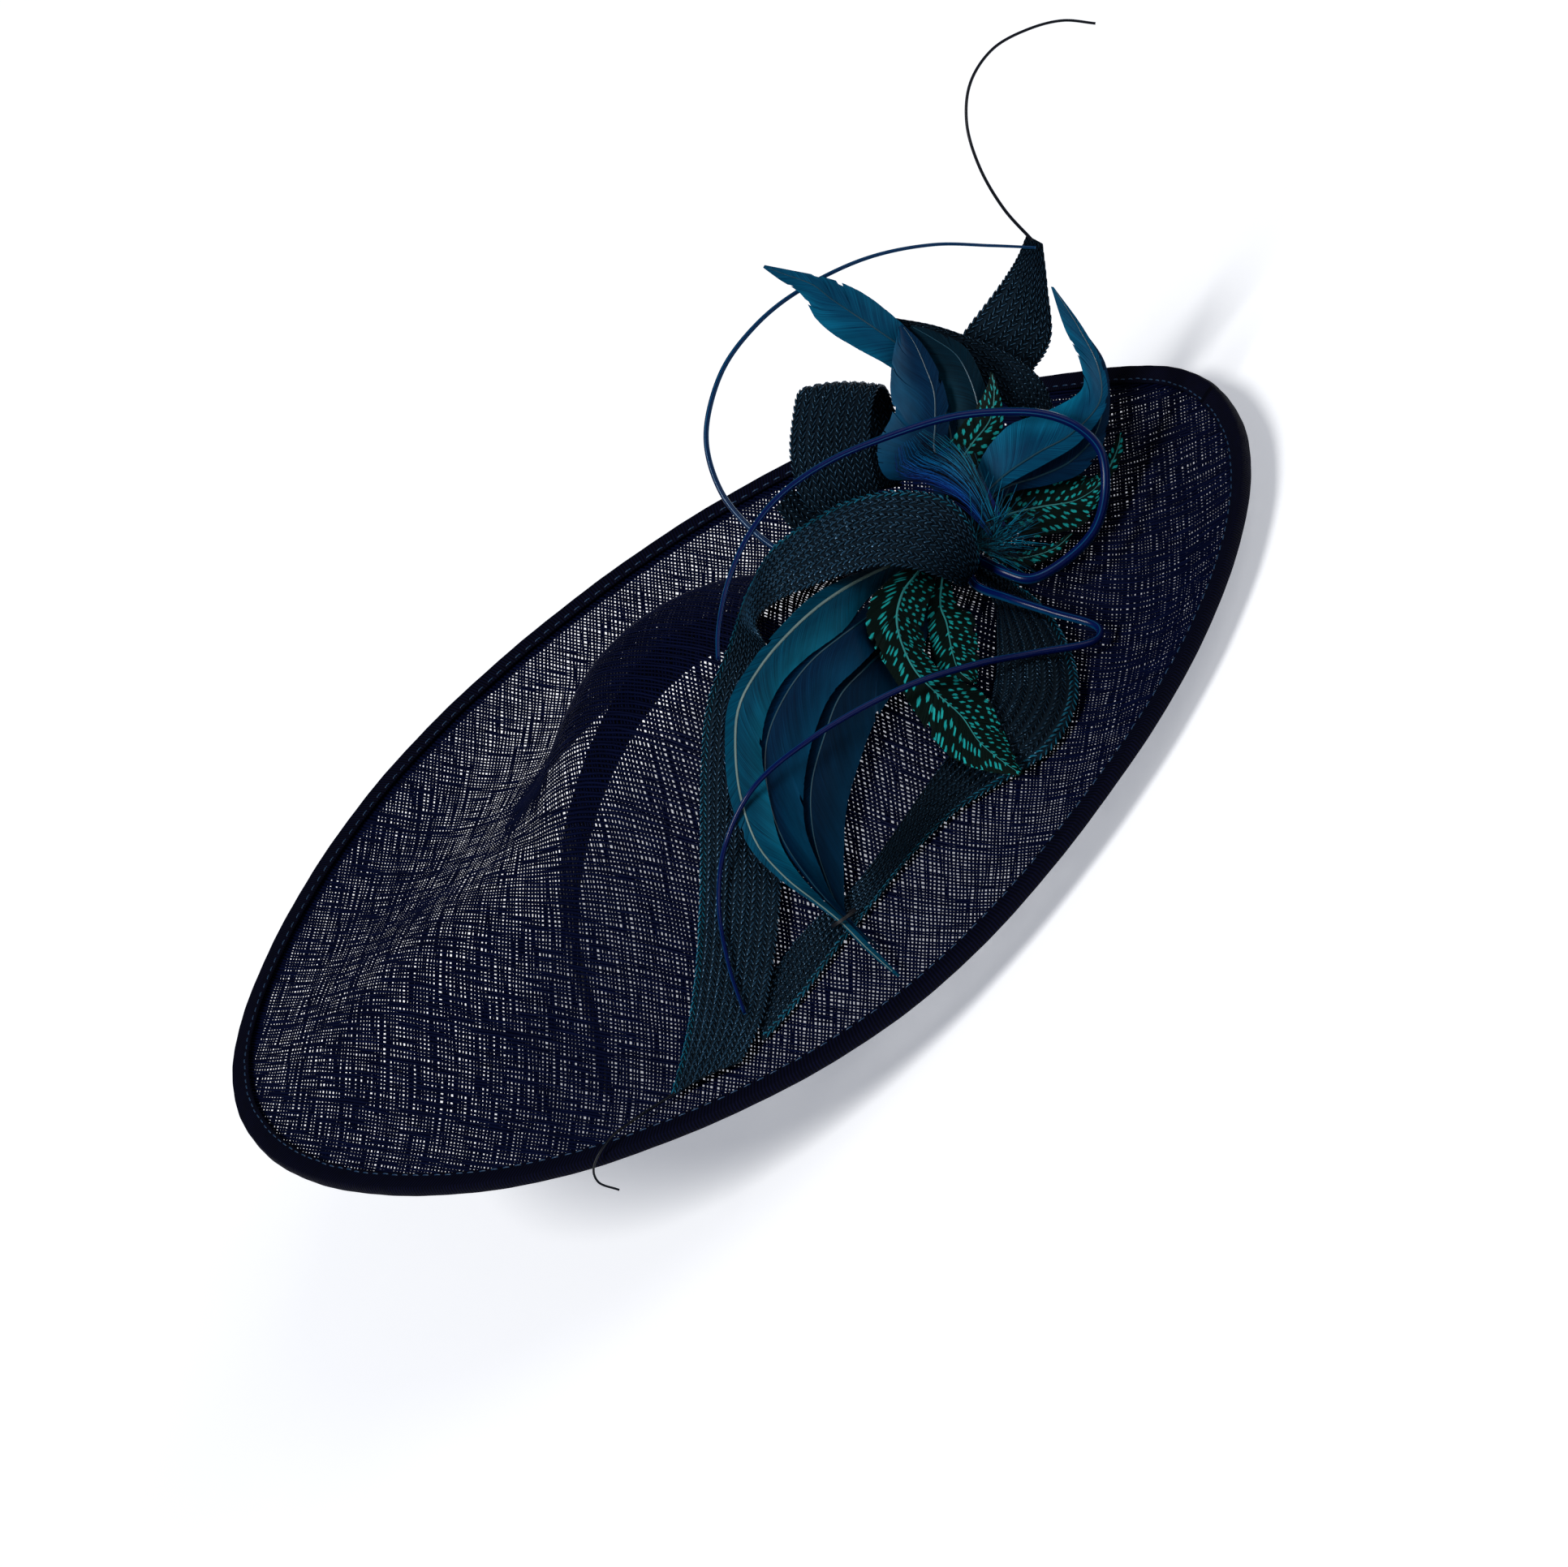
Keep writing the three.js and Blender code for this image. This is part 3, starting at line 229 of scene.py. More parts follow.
def grid_faces(rows, columns, close_rows=False, close_columns=False):
    """Faces between neighbouring places of a grid"""
    i = np.arange(rows if close_rows else rows - 1)
    j = np.arange(columns if close_columns else columns - 1)
    i, j = (a.ravel() for a in np.meshgrid(i, j, indexing="ij"))
    i2, j2 = (i + 1) % rows, (j + 1) % columns
    return np.stack([i * columns + j, i2 * columns + j,
                     i2 * columns + j2, i * columns + j2], axis=1)


def grid_map(along, across):
    """The texture map of a grid whose rows and columns lie at these millimetres"""
    return np.stack(np.meshgrid(along, across, indexing="ij"), axis=-1).reshape(-1, 2)


def capped_faces(rows, columns):
    """Faces of a tube of rings, closed at both ends"""
    faces = grid_faces(rows, columns, close_columns=True).tolist()
    return faces + [list(range(columns))[::-1], [(rows - 1) * columns + k for k in range(columns)]]


def many(faces, copies, places_each):
    """The same faces for many separate grids, one after another"""
    offsets = np.arange(copies)[:, None, None] * places_each
    return (faces[None] + offsets).reshape(-1, faces.shape[1])


# %% [markdown]
# A material is a graph of nodes. One function adds a node: its settings are named
# values, and its inputs are either values or the outputs of nodes made before it.
# Colours are written as on a dye chart, in sRGB hex, and turned to the linear values
# that the renderer works in.

# %% Nodes and colours
def linear(hex_colour):
    """An sRGB hex colour as linear red, green, blue and alpha"""
    parts = [int(hex_colour[i:i + 2], 16) / 255 for i in (1, 3, 5)]
    return [p / 12.92 if p <= 0.04045 else ((p + 0.055) / 1.055) ** 2.4 for p in parts] + [1]


def node(material, kind, inputs=(), **settings):
    """Adds a node; inputs is a dict of socket name or number to a value or an output"""
    made = material.node_tree.nodes.new("ShaderNode" + kind)
    for name, value in settings.items():
        setattr(made, name, value)
    for place, value in dict(inputs).items():
        if isinstance(value, bpy.types.NodeSocket):
            material.node_tree.links.new(value, made.inputs[place])
        else:
            made.inputs[place].default_value = value
    return made


def blank_material(name):
    """A material with no nodes yet"""
    material = bpy.data.materials.new(name)
    material.use_nodes = True
    material.node_tree.nodes.clear()
    return material


def finish_material(material, inputs):
    """The shader at the end of the graph, with its uniform values on its own sockets"""
    shader = node(material, "BsdfPrincipled", inputs)
    node(material, "OutputMaterial", {"Surface": shader.outputs[0]})
    return material


def millimetres(material, along=1.0, across=1.0):
    """The piece's texture map, stretched: along and across are steps per millimetre"""
    place = node(material, "UVMap", uv_map="millimetres")
    scaled = node(material, "Mapping", {0: place.outputs[0], "Scale": (along, across, 1)})
    return scaled.outputs[0]


def map_numbers(material):
    """The texture map's first and second number"""
    place = node(material, "SeparateXYZ", {0: millimetres(material)})
    return place.outputs[0], place.outputs[1]


def noise(material, along, across, scale=1, detail=2):
    """Noise on the stretched texture map"""
    return node(material, "TexNoise", {"Vector": millimetres(material, along, across),
                                       "Scale": scale, "Detail": detail}).outputs[0]


def mix(material, share, first, second):
    """A colour between two, each of them a hex colour or a node's output"""
    first, second = (linear(c) if isinstance(c, str) else c for c in (first, second))
    return node(material, "Mix", {0: share, 6: first, 7: second}, data_type="RGBA").outputs[2]


def ramp(material, value, low, high, start=0.0, end=1.0):
    """A number that goes from start to end while the value goes from low to high"""
    return node(material, "MapRange",
                {0: value, 1: low, 2: high, 3: start, 4: end}).outputs[0]


def maths(material, operation, *values):
    """The result of an operation on values or outputs"""
    return node(material, "Math", dict(enumerate(values)), operation=operation).outputs[0]


def bump(material, height, strength, depth):
    """The tilt of the surface where a height pattern, depth metres deep, covers it"""
    return node(material, "Bump", {"Height": height, "Strength": strength,
                                   "Distance": depth}).outputs[0]


# %% [markdown]
# Sinamay is woven from strips of abaca fibre that are stiff, uneven and dull, and
# dyed through. It was stretched over the block on the bias, so its two sets of
# threads no longer cross at a right angle. It could be a plain sheet with holes
# painted through it, but then the holes would never close where the cloth is seen
# edge on. So each thread is its own thin four-sided strand, thicker and thinner
# along its length, and the weave shuts and opens by itself. The pitch of the threads
# is judged, and the real cloth may be finer.

# %% Dyed sinamay
sinamay = blank_material("sinamay_dyed_navy")
# abaca fibre has fine lines along it, about 0.1 mm apart, drawn at 0.25 mm to show
fibre = noise(sinamay, 0.2, 4, detail=3)
patch = noise(sinamay, 0.05, 0.7)
finish_material(sinamay, {
    "Base Color": mix(sinamay, patch, "#010105", "#0a1338"),
    "Normal": bump(sinamay, fibre, 0.4, 0.0001),
    "Roughness": 0.5, "IOR": 1.5, "Specular IOR Level": 0.04,
})

# %% Threads of the cloth
THREAD_PITCH = 1.5
THREAD_WIDTH = 1.0
THREAD_DEPTH = 0.42
THREAD_STEP = 6.0
WARP_DIRECTION = math.radians(-58)
WEFT_DIRECTION = math.radians(66)
# lengths of waves in millimetres and their sizes, in millimetres and as a share
WANDER_WAVES = [(61, 0.22), (23, 0.14)]
THICKNESS_WAVES = [(47, 0.07), (19, 0.07), (7.3, 0.08)]


def smooth_noise(rng, count, places, waves):
    """One slowly varying line of numbers about zero for each thread"""
    total = np.zeros((count, places.shape[-1]))
    for length, size in waves:
        phase = rng.uniform(0, 2 * math.pi, (count, 1))
        total += size * np.sin(2 * math.pi * places / length + phase)
    return total


def weave_threads(name, direction, lift, seed, stands_for=()):
    """One set of parallel threads, lying on the cloth's form from rim to rim"""
    rng = np.random.default_rng(seed)
    along = np.array([math.cos(direction), math.sin(direction)])
    aside = np.array([-along[1], along[0]])
    radii = np.array([EDGE_HALF_LENGTH, EDGE_HALF_WIDTH]) - 1
    reach = np.linalg.norm(aside * radii)
    offsets = np.arange(-reach + THREAD_PITCH / 2, reach, THREAD_PITCH)
    offsets = offsets + rng.normal(0, 0.05 * THREAD_PITCH, len(offsets))
    stretch = np.sum((along / radii) ** 2)
    places, faces, maps = [], [], []
    start = 0
    loose = np.cumsum(rng.normal(0, 0.05, len(offsets)))
    loose -= np.convolve(loose, np.ones(25) / 25, mode="same")
    for number, offset in enumerate(offsets):
        centre = aside * offset
        b = np.sum(along * centre / radii ** 2)
        c = np.sum((centre / radii) ** 2) - 1
        if b * b - stretch * c <= 0:
            continue
        root = math.sqrt(b * b - stretch * c)
        low, high = (-b - root) / stretch, (-b + root) / stretch
        count = max(3, int((high - low) / THREAD_STEP))
        s = np.linspace(low, high, count)
        wander = smooth_noise(rng, 1, s, WANDER_WAVES)[0]
        edge = np.minimum(s - low, high - s)
        wander *= np.clip(edge / 20, 0, 1)
        ground = centre + s[:, None] * along + wander[:, None] * aside
        x, y = ground[:, 0], ground[:, 1]
        normal = cloth_normal(x, y)
        steep = 1 / normal[:, 2]
        thick = 1 + smooth_noise(rng, 1, s, THICKNESS_WAVES)[0]
        thick *= np.exp(rng.normal(0, 0.06)) * (1 + 0.35 * loose[number])
        # both ends were stretched least on the block, so their threads lie closer
        thick *= 1 + 0.2 * np.clip((-x - 40) / 90, 0, 1) + 0.28 * np.clip((x - 50) / 80, 0, 1)
        half = THREAD_WIDTH / 2 * np.clip(thick * (0.35 + 0.65 * steep), 0.45, 2.2)
        height = THREAD_DEPTH / 2 * np.clip(thick, 0.6, 1.6)
        flat = np.stack([x, y, height_over(x, y)], axis=1)
        tangent = unit(np.gradient(flat, axis=0))
        side = unit(np.cross(normal, tangent))
        middle = flat + normal * lift
        ring = np.stack([middle - side * half[:, None], middle + normal * height[:, None],
                         middle + side * half[:, None], middle - normal * height[:, None]], axis=1)
        places.append(ring.reshape(-1, 3))
        faces.append(grid_faces(count, 4, close_columns=True) + start)
        maps.append(grid_map(s, np.array([0, 0.6, 1.2, 0.6]) + 7 * number))
        start += count * 4
    make_piece(name, np.concatenate(places), np.concatenate(faces), sinamay,
               "straw_cloth", np.concatenate(maps), stands_for)


weave_threads("sinamay_warp", WARP_DIRECTION, THREAD_DEPTH / 2, 1, ["crown_and_brim"])
weave_threads("sinamay_weft", WEFT_DIRECTION, -THREAD_DEPTH / 2, 2)

# %% [markdown]
# The rim is bound with petersham, a ribbon with ribs across it about 1.3 mm apart.
# The ribbon is folded over the edge, pressed, and sewn through with a running stitch
# of lighter blue thread. The fold is a rounded section carried round the rim, and the
# ribs are waves in its bump and in its colour, with painted shade in the grooves
# between the ribs.

# %% Petersham ribbon
RIB_PITCH = 1.3
petersham = blank_material("petersham_ribbon_navy")
ribs = node(petersham, "TexWave", {
    "Vector": millimetres(petersham, 1 / RIB_PITCH, 0.02), "Scale": 0.314, "Distortion": 0.3,
    "Detail": 1}, wave_type="BANDS", bands_direction="X")
# painted shade: the colour is darker in the grooves between the ribs and lighter on their crests
rib_groove_shade = mix(petersham, ribs.outputs[0], "#010104", "#0b0e2c")
finish_material(petersham, {
    "Base Color": mix(petersham, noise(petersham, 0.15, 0.3), rib_groove_shade, "#03040e"),
    "Normal": bump(petersham, ribs.outputs[0], 0.7, 0.0004),
    "Roughness": 0.7, "IOR": 1.5, "Specular IOR Level": 0.04,
})

# %% Binding folded over the rim
RIM_STATIONS = 420
angles = np.linspace(0, 2 * math.pi, RIM_STATIONS, endpoint=False)
edge = cloth_point(angles, 1)
outward = unit(edge - cloth_point(angles, 1 - 1 / 13))
along = unit(np.roll(edge, -1, axis=0) - np.roll(edge, 1, axis=0))
upward = unit(np.cross(outward, along))
rim_length = lengths_along(edge)


def on_rim(out, up):
    """Places all round the rim, out from its edge and up off the cloth"""
    return edge + outward * np.reshape(out, (-1, 1)) + upward * np.reshape(up, (-1, 1))


gap = CLOTH / 2 + 0.5
skin = gap + RIBBON
back = CLEAR + RIBBON - BINDING_WIDTH
fold = [(back, gap), (back - 0.2, gap + 0.5), (back, skin - 0.1), (back + 0.8, skin)]
fold += [(back * 0.5, skin + 0.1)]
for step in range(9):
    turn = math.radians(80 - 20 * step)
    fold.append((RIBBON * math.cos(turn) + CLEAR * 0.9, skin * math.sin(turn)))
fold += [(back * 0.5, -skin - 0.1), (back + 0.8, -skin), (back, -skin + 0.1)]
fold += [(back - 0.2, -gap - 0.5), (back, -gap), (0, -gap), (0, gap)]
rng = np.random.default_rng(3)
pressed = smooth_noise(rng, 1, rim_length, [(137, 0.1), (41, 0.08), (13, 0.05)])[0]
rings = np.stack([on_rim(np.full(RIM_STATIONS, o) + pressed, np.full(RIM_STATIONS, u))
                  for o, u in fold], axis=1)
round_fold = lengths_along(fold)
make_piece("rim_binding_ribbon", rings.reshape(-1, 3),
           grid_faces(RIM_STATIONS, len(fold), close_rows=True, close_columns=True),
           petersham, "ribbon", grid_map(rim_length, round_fold), ["brim_binding"])

# %% [markdown]
# The running stitch is polyester thread, about 0.5 mm thick. Each stitch shows for
# 3 mm and dives for 2 mm. A stitch is a short strand whose ends sink into the ribbon.

# %% Sewing thread
sewing = blank_material("polyester_sewing_thread_blue")
twist = node(sewing, "TexWave", {"Vector": millimetres(sewing, 1.5, 1.5), "Scale": 0.6},
             bands_direction="DIAGONAL")
finish_material(sewing, {"Base Color": mix(sewing, twist.outputs[0], "#0b1c3c", "#2a557c"),
                         "Roughness": 0.4, "IOR": 1.5})


def strand_rings(centres, radii, sides):
    """Rings of places round a line: a tube that keeps its twist small"""
    tangent = unit(np.gradient(centres, axis=0))
    normal = np.zeros_like(tangent)
    guide = FORWARD if abs(tangent[0] @ FORWARD) < 0.9 else ACROSS
    normal[0] = unit(guide - tangent[0] * (tangent[0] @ guide))
    for i in range(1, len(centres)):
        carried = normal[i - 1] - tangent[i] * (tangent[i] @ normal[i - 1])
        normal[i] = unit(carried)
    binormal = np.cross(tangent, normal)
    turn = np.arange(sides) * 2 * math.pi / sides
    spokes = (normal[:, None] * np.cos(turn)[None, :, None]
              + binormal[:, None] * np.sin(turn)[None, :, None])
    return centres[:, None] + spokes * np.reshape(radii, (-1, 1, 1))


STITCH = 3.0
STITCH_STEP = 5.2
STITCH_SIDES = 5
stitch_count = int(rim_length[-1] / STITCH_STEP)
# share of the stitch's length, height over the ribbon and radius
profile = [(0, -0.25, 0.15), (0.15, 0.1, 0.25), (0.5, 0.18, 0.27), (0.85, 0.1, 0.25),
           (1, -0.25, 0.15)]
stitches = []
for number in range(stitch_count):
    place = number * STITCH_STEP + rng.normal(0, 0.15)
    side = rng.normal(0, 0.12)
    line, radii = [], []
    for part, rise, radius in profile:
        at = np.interp(place + part * STITCH, rim_length, np.arange(RIM_STATIONS)) % RIM_STATIONS
        i, t = int(at), at - int(at)
        j = (i + 1) % RIM_STATIONS
        base = edge[i] * (1 - t) + edge[j] * t
        line.append(base + outward[i] * (back + 1.2 + side) + upward[i] * (skin + rise))
        radii.append(radius)
    stitches.append(strand_rings(np.array(line), radii, STITCH_SIDES).reshape(-1, 3))
stitch_faces = many(grid_faces(len(profile), STITCH_SIDES, close_columns=True), stitch_count,
                    len(profile) * STITCH_SIDES)
one_stitch = grid_map(np.arange(len(profile)) * 0.7, np.arange(STITCH_SIDES) * 0.3)
make_piece("rim_running_stitch", np.concatenate(stitches), stitch_faces, sewing, "thread",
           np.tile(one_stitch, (stitch_count, 1)))

# %% [markdown]
# The headband is a strip of plastic wrapped in plum-navy satin. It springs over the
# head under the crown and shows through the open cloth. Satin shines more along its
# floating threads than across, so its gloss is stretched.

# %% Satin
satin = blank_material("polyester_satin_plum_navy")
wrap = node(satin, "TexWave", {"Vector": millimetres(satin, 0.12, 0.3), "Scale": 1,
                               "Distortion": 1.5, "Detail": 2}, bands_direction="DIAGONAL")
both = maths(satin, "ADD", wrap.outputs[0], noise(satin, 0.4, 5))
finish_material(satin, {
    "Base Color": mix(satin, wrap.outputs[0], "#020208", "#05050f"),
    "Normal": bump(satin, both, 0.3, 0.0005),
    "Roughness": 0.36, "IOR": 1.5, "Specular IOR Level": 0.15, "Anisotropic": 0.5,
})

# %% Smooth routes
def smooth_route(points, t):
    """A curve through points, at shares t of the way; spacing is taken as uneven"""
    points = np.asarray(points, dtype=float)
    first, last = 2 * points[0] - points[1], 2 * points[-1] - points[-2]
    p = np.concatenate([[first], points, [last]])
    place = np.clip(t, 0, 1) * (len(points) - 1)
    i = np.minimum(np.floor(place).astype(int), len(points) - 2)
    w = (place - i)[:, None]
    p0, p1, p2, p3 = p[i], p[i + 1], p[i + 2], p[i + 3]
    d0, d1, d2 = (np.sqrt(np.linalg.norm(b - a, axis=1))[:, None]
                  for a, b in ((p0, p1), (p1, p2), (p2, p3)))
    leave = ((p1 - p0) / d0 - (p2 - p0) / (d0 + d1) + (p2 - p1) / d1) * d1
    arrive = ((p2 - p1) / d1 - (p3 - p1) / (d1 + d2) + (p3 - p2) / d2) * d1
    return (p1 + leave * w + (3 * (p2 - p1) - 2 * leave - arrive) * w ** 2
            + (2 * (p1 - p2) + leave + arrive) * w ** 3)


# %% Headband
BAND_WIDTH = 28
BAND_TIP_WIDTH = 8
BAND_THICKNESS = 2.4
BAND_TIP_THICKNESS = 3.4
BAND_STATIONS = 130
ROUTE_SAMPLES = 400
BAND_ROUTE = [
    [-1.21, -0.04, -0.92, 0],
    [-0.99, -0.05, -0.39, 0.35],
    [-0.85, -0.05, -0.04, 0.65],
    [-0.67, -0.05, 0.21, 0.85],
    [-0.41, -0.05, 0.43, 0.95],
    [-0.17, -0.05, 0.56, 1],
    [0.05, -0.05, 0.611, 1],
    [0.25, -0.02, 0.56, 1],
    [0.39, 0.04, 0.41, 0.95],
    [0.45, 0.12, 0.15, 0.8],
    [0.38, 0.2, -0.15, 0.6],
    [0.24, 0.27, -0.4, 0.3],
    [0.08, 0.33, -0.72, 0],
]
band_rows = np.array(BAND_ROUTE)
fine = np.linspace(0, 1, ROUTE_SAMPLES)
line = smooth_route(band_rows[:, :3] * TRIM_REACH, fine)
height = to_row(line)[:, 2]
inside = np.flatnonzero(height > 0.0001)
line, fine = line[inside[0]:inside[-1] + 1], fine[inside[0]:inside[-1] + 1]
keep = np.linspace(0, len(line) - 1, BAND_STATIONS).astype(int)
line, fine = line[keep], fine[keep]
wide = np.interp(fine * (len(band_rows) - 1), np.arange(len(band_rows)), band_rows[:, 3])
half = (BAND_TIP_WIDTH + (BAND_WIDTH - BAND_TIP_WIDTH) * wide) / 2
thick = (BAND_TIP_THICKNESS + (BAND_THICKNESS - BAND_TIP_THICKNESS) * wide) / 2
tangent = unit(np.gradient(line, axis=0))
side = unit(np.array([0, 1, 0]) - tangent * tangent[:, 1:2])
normal = unit(np.cross(side, tangent))
# half the section of the band, as shares of its half width and half thickness
section = [(-1, 0), (-0.97, 0.5), (-0.85, 0.85), (-0.5, 1), (0, 1.02), (0.5, 1), (0.85, 0.85),
           (0.97, 0.5)]
section += [(-a, -b) for a, b in section]
rings = np.stack([line + side * (a * half)[:, None] + normal * (b * thick)[:, None]
                  for a, b in section], axis=1)
feet = to_row(rings.reshape(-1, 3))[:, 2].reshape(rings.shape[:2])
for end in (0, -1):
    slide = feet[end] * 1000 / (tangent[end] @ np.array(floor_up))
    rings[end] -= tangent[end] * slide[:, None]
faces = capped_faces(len(line), len(section))
band_map = grid_map(lengths_along(line), np.linspace(0, 2 * BAND_WIDTH, len(section)))
make_piece("headband_satin", rings.reshape(-1, 3), faces, satin, "satin", band_map, ["headband"])

# %% [markdown]
# The trim is laid out on a plane that leans back by 30 degrees, as it is seen from
# the front. Its tables give places across and up on that plane, in perspective, and
# then how far each place stands forward of the plane, or how far it lifts off the
# cloth that lies behind it.

# %% Places on the leaning plane
SIGHT_DISTANCE = 2100
SIGHT_ACROSS = 11.3
SIGHT_UP = -10.4
RIM_MIDDLE_ACROSS = 1.5
STAND_OFF = 5


def sighted(across, up, forward):
    """A place as it is drawn, on its line of sight at a depth"""
    near = 1 - forward / SIGHT_DISTANCE
    return (ACROSS * (SIGHT_ACROSS - RIM_MIDDLE_ACROSS + (across - SIGHT_ACROSS) * near)
            + UP * (SIGHT_UP + (up - SIGHT_UP) * near) + FORWARD * forward)


def depth_of_front(across, up):
    """Depth at which the line of sight at a place meets the front of the hat"""
    reach = min(abs(across) / EDGE_HALF_LENGTH, 0.999)
    rim = EDGE_HALF_WIDTH * math.sqrt(1 - reach ** 2)
    y = np.linspace(-rim, rim, 121)
    first = y * FORWARD[1] + height_over(np.full_like(y, across), y) * FORWARD[2]
    near = 1 - first / SIGHT_DISTANCE
    x = SIGHT_ACROSS - RIM_MIDDLE_ACROSS + (across - SIGHT_ACROSS) * near
    height = height_over(x, y)
    forward = y * FORWARD[1] + height * FORWARD[2]
    seen = y * UP[1] + height * UP[2]
    seen = SIGHT_UP + (seen - SIGHT_UP) / (1 - forward / SIGHT_DISTANCE)
    met = np.flatnonzero(seen[1:] >= up)
    if len(met) == 0:
        return forward[np.argmax(seen)]
    after = met[0] + 1
    best = np.argmax(seen[:after])
    t = max(0, (up - seen[best]) / (seen[after] - seen[best]))
    return forward[best] + t * (forward[after] - forward[best])


def standing(across, up, forward):
    """A place before or behind the leaning plane, clear of the cloth, as shares of TRIM_REACH"""
    depth = forward * TRIM_REACH
    if abs(across * TRIM_REACH) < EDGE_HALF_LENGTH:
        depth = max(depth, depth_of_front(across * TRIM_REACH, up * TRIM_REACH) + STAND_OFF)
    return sighted(across * TRIM_REACH, up * TRIM_REACH, depth)


def lying(across, up, lift):
    """A place at a lift off the cloth, as shares of TRIM_REACH"""
    depth = depth_of_front(across * TRIM_REACH, up * TRIM_REACH)
    return sighted(across * TRIM_REACH, up * TRIM_REACH, depth + lift * TRIM_REACH)


def edges(place, rows):
    """Rows of two edges: three numbers for one edge, then three for the other"""
    return [(place(*row[:3]), place(*row[3:])) for row in rows]


def route(place, rows):
    """A line of places"""
    return [place(*row) for row in rows]


# %% [markdown]
# All the bands, feathers and stems grow from a stuffed felt pad on the brim, about
# 40 mm long. The trim hides nearly all of it. It is a rounded cushion with a seam.

# %% Felt
felt = blank_material("wool_felt_dark_teal")
matted = noise(felt, 0.8, 0.8, detail=6)
finish_material(felt, {"Base Color": mix(felt, matted, "#01030a", "#0d1a2c"),
                       "Normal": bump(felt, matted, 0.6, 0.0006),
                       "Roughness": 0.95, "Sheen Weight": 0.2})

# %% Pad
PAD_RADII = np.array([20.0, 16.0, 10.0])
PAD_X = 111
PAD_Y = 7
PAD_AROUND = 48
PAD_DOWN = 26
ROOT_WIDTH = 3
lattice = grid_map(np.arange(-10, 11), np.arange(-10, 11)) / 10
bulge = np.sqrt(np.maximum(0, 1 - np.sum(lattice ** 2, axis=1))) * PAD_RADII[2]
over = height_over(PAD_X + lattice[:, 0] * PAD_RADII[0], PAD_Y + lattice[:, 1] * PAD_RADII[1])
level = np.max((over + bulge)[bulge > 0])
pad_centre = np.array([PAD_X, PAD_Y, level + CLOTH / 2 + 2.2 * CLEAR])
around, down = np.meshgrid(np.linspace(0, 2 * math.pi, PAD_AROUND, endpoint=False),
                           np.linspace(0.02, math.pi - 0.02, PAD_DOWN), indexing="ij")
seam = 1 - 0.05 * np.exp(-((down - math.pi / 2) / 0.06) ** 2)
seam += 0.012 * np.sin(9 * around) * np.sin(down)
ball = np.stack([np.cos(around) * np.sin(down), np.sin(around) * np.sin(down), np.cos(down)],
                axis=-1)
pad_map = np.stack([around * 20, down * 16], axis=-1).reshape(-1, 2)
cushion = pad_centre + ball * (seam * 0.985)[..., None] * PAD_RADII
pad = make_piece("trim_pad_felt", cushion.reshape(-1, 3),
                 grid_faces(PAD_AROUND, PAD_DOWN, close_rows=True), felt, "felt", pad_map,
                 ["trim_pad"])


def from_pad(point, half_side, half_thick):
    """Where a piece on its way to a point leaves the pad"""
    way = point - pad_centre
    seat = pad_centre + way / np.linalg.norm(way / PAD_RADII)
    out = unit(way / PAD_RADII ** 2)
    return seat + out * (0.6 * CLEAR + abs(half_side @ out) + abs(half_thick @ out))


# %% [markdown]
# A band of straw and the vane of a feather are both strips between two edges. A
# strip is measured along its middle in millimetres, so that plaits and barbs can be
# spaced evenly on it, and a place on it is given by how far along, how far across
# from 0 to 1, and how far off its face.

# %% Strips
STRIP_STEPS = 600
CAMBER = 0.06


class Strip:
    """A surface between two edges that bulges a little towards the front"""

    def __init__(self, rows, rooted=True, thick=1.0):
        rows = list(rows)
        if rooted:
            a, b = rows[0]
            centre = (a + b) / 2
            half = unit(b - a) * ROOT_WIDTH / 2
            face = unit(np.cross(half, centre - pad_centre)) * thick / 2
            root = from_pad(centre, half, face)
            rows.insert(0, (root - half, root + half))
        t = np.linspace(0, 1, STRIP_STEPS + 1)
        self.left = smooth_route([row[0] for row in rows], t)
        self.right = smooth_route([row[1] for row in rows], t)
        across = self.right - self.left
        ahead = [unit(np.gradient(side, axis=0)) for side in (self.left, self.right)]
        self.normal = unit(np.cross(across, unit(ahead[0] + ahead[1])))
        self.normal *= np.sign(self.normal[STRIP_STEPS // 2] @ FORWARD)
        self.width = np.linalg.norm(across, axis=1)
        self.rise = CAMBER * self.width
        middle = (self.left + self.right) / 2
        self.along = lengths_along(middle)
        self.length = self.along[-1]

    def blend(self, values, s):
        """Values that are known all along the strip, at places s"""
        if values.ndim == 1:
            return np.interp(s, self.along, values)
        return np.stack([np.interp(s, self.along, values[:, k]) for k in range(3)], axis=-1)

    def place(self, s, c, lift=0.0):
        """Places s millimetres along, c across from 0 to 1, and lifted off the face"""
        s, c, lift = np.broadcast_arrays(s, c, lift)
        left, right, normal = (self.blend(v, s) for v in (self.left, self.right, self.normal))
        bulge = self.blend(self.rise, s) * np.sin(math.pi * np.clip(c, 0, 1))
        return left + (right - left) * c[..., None] + normal * (bulge + lift)[..., None]
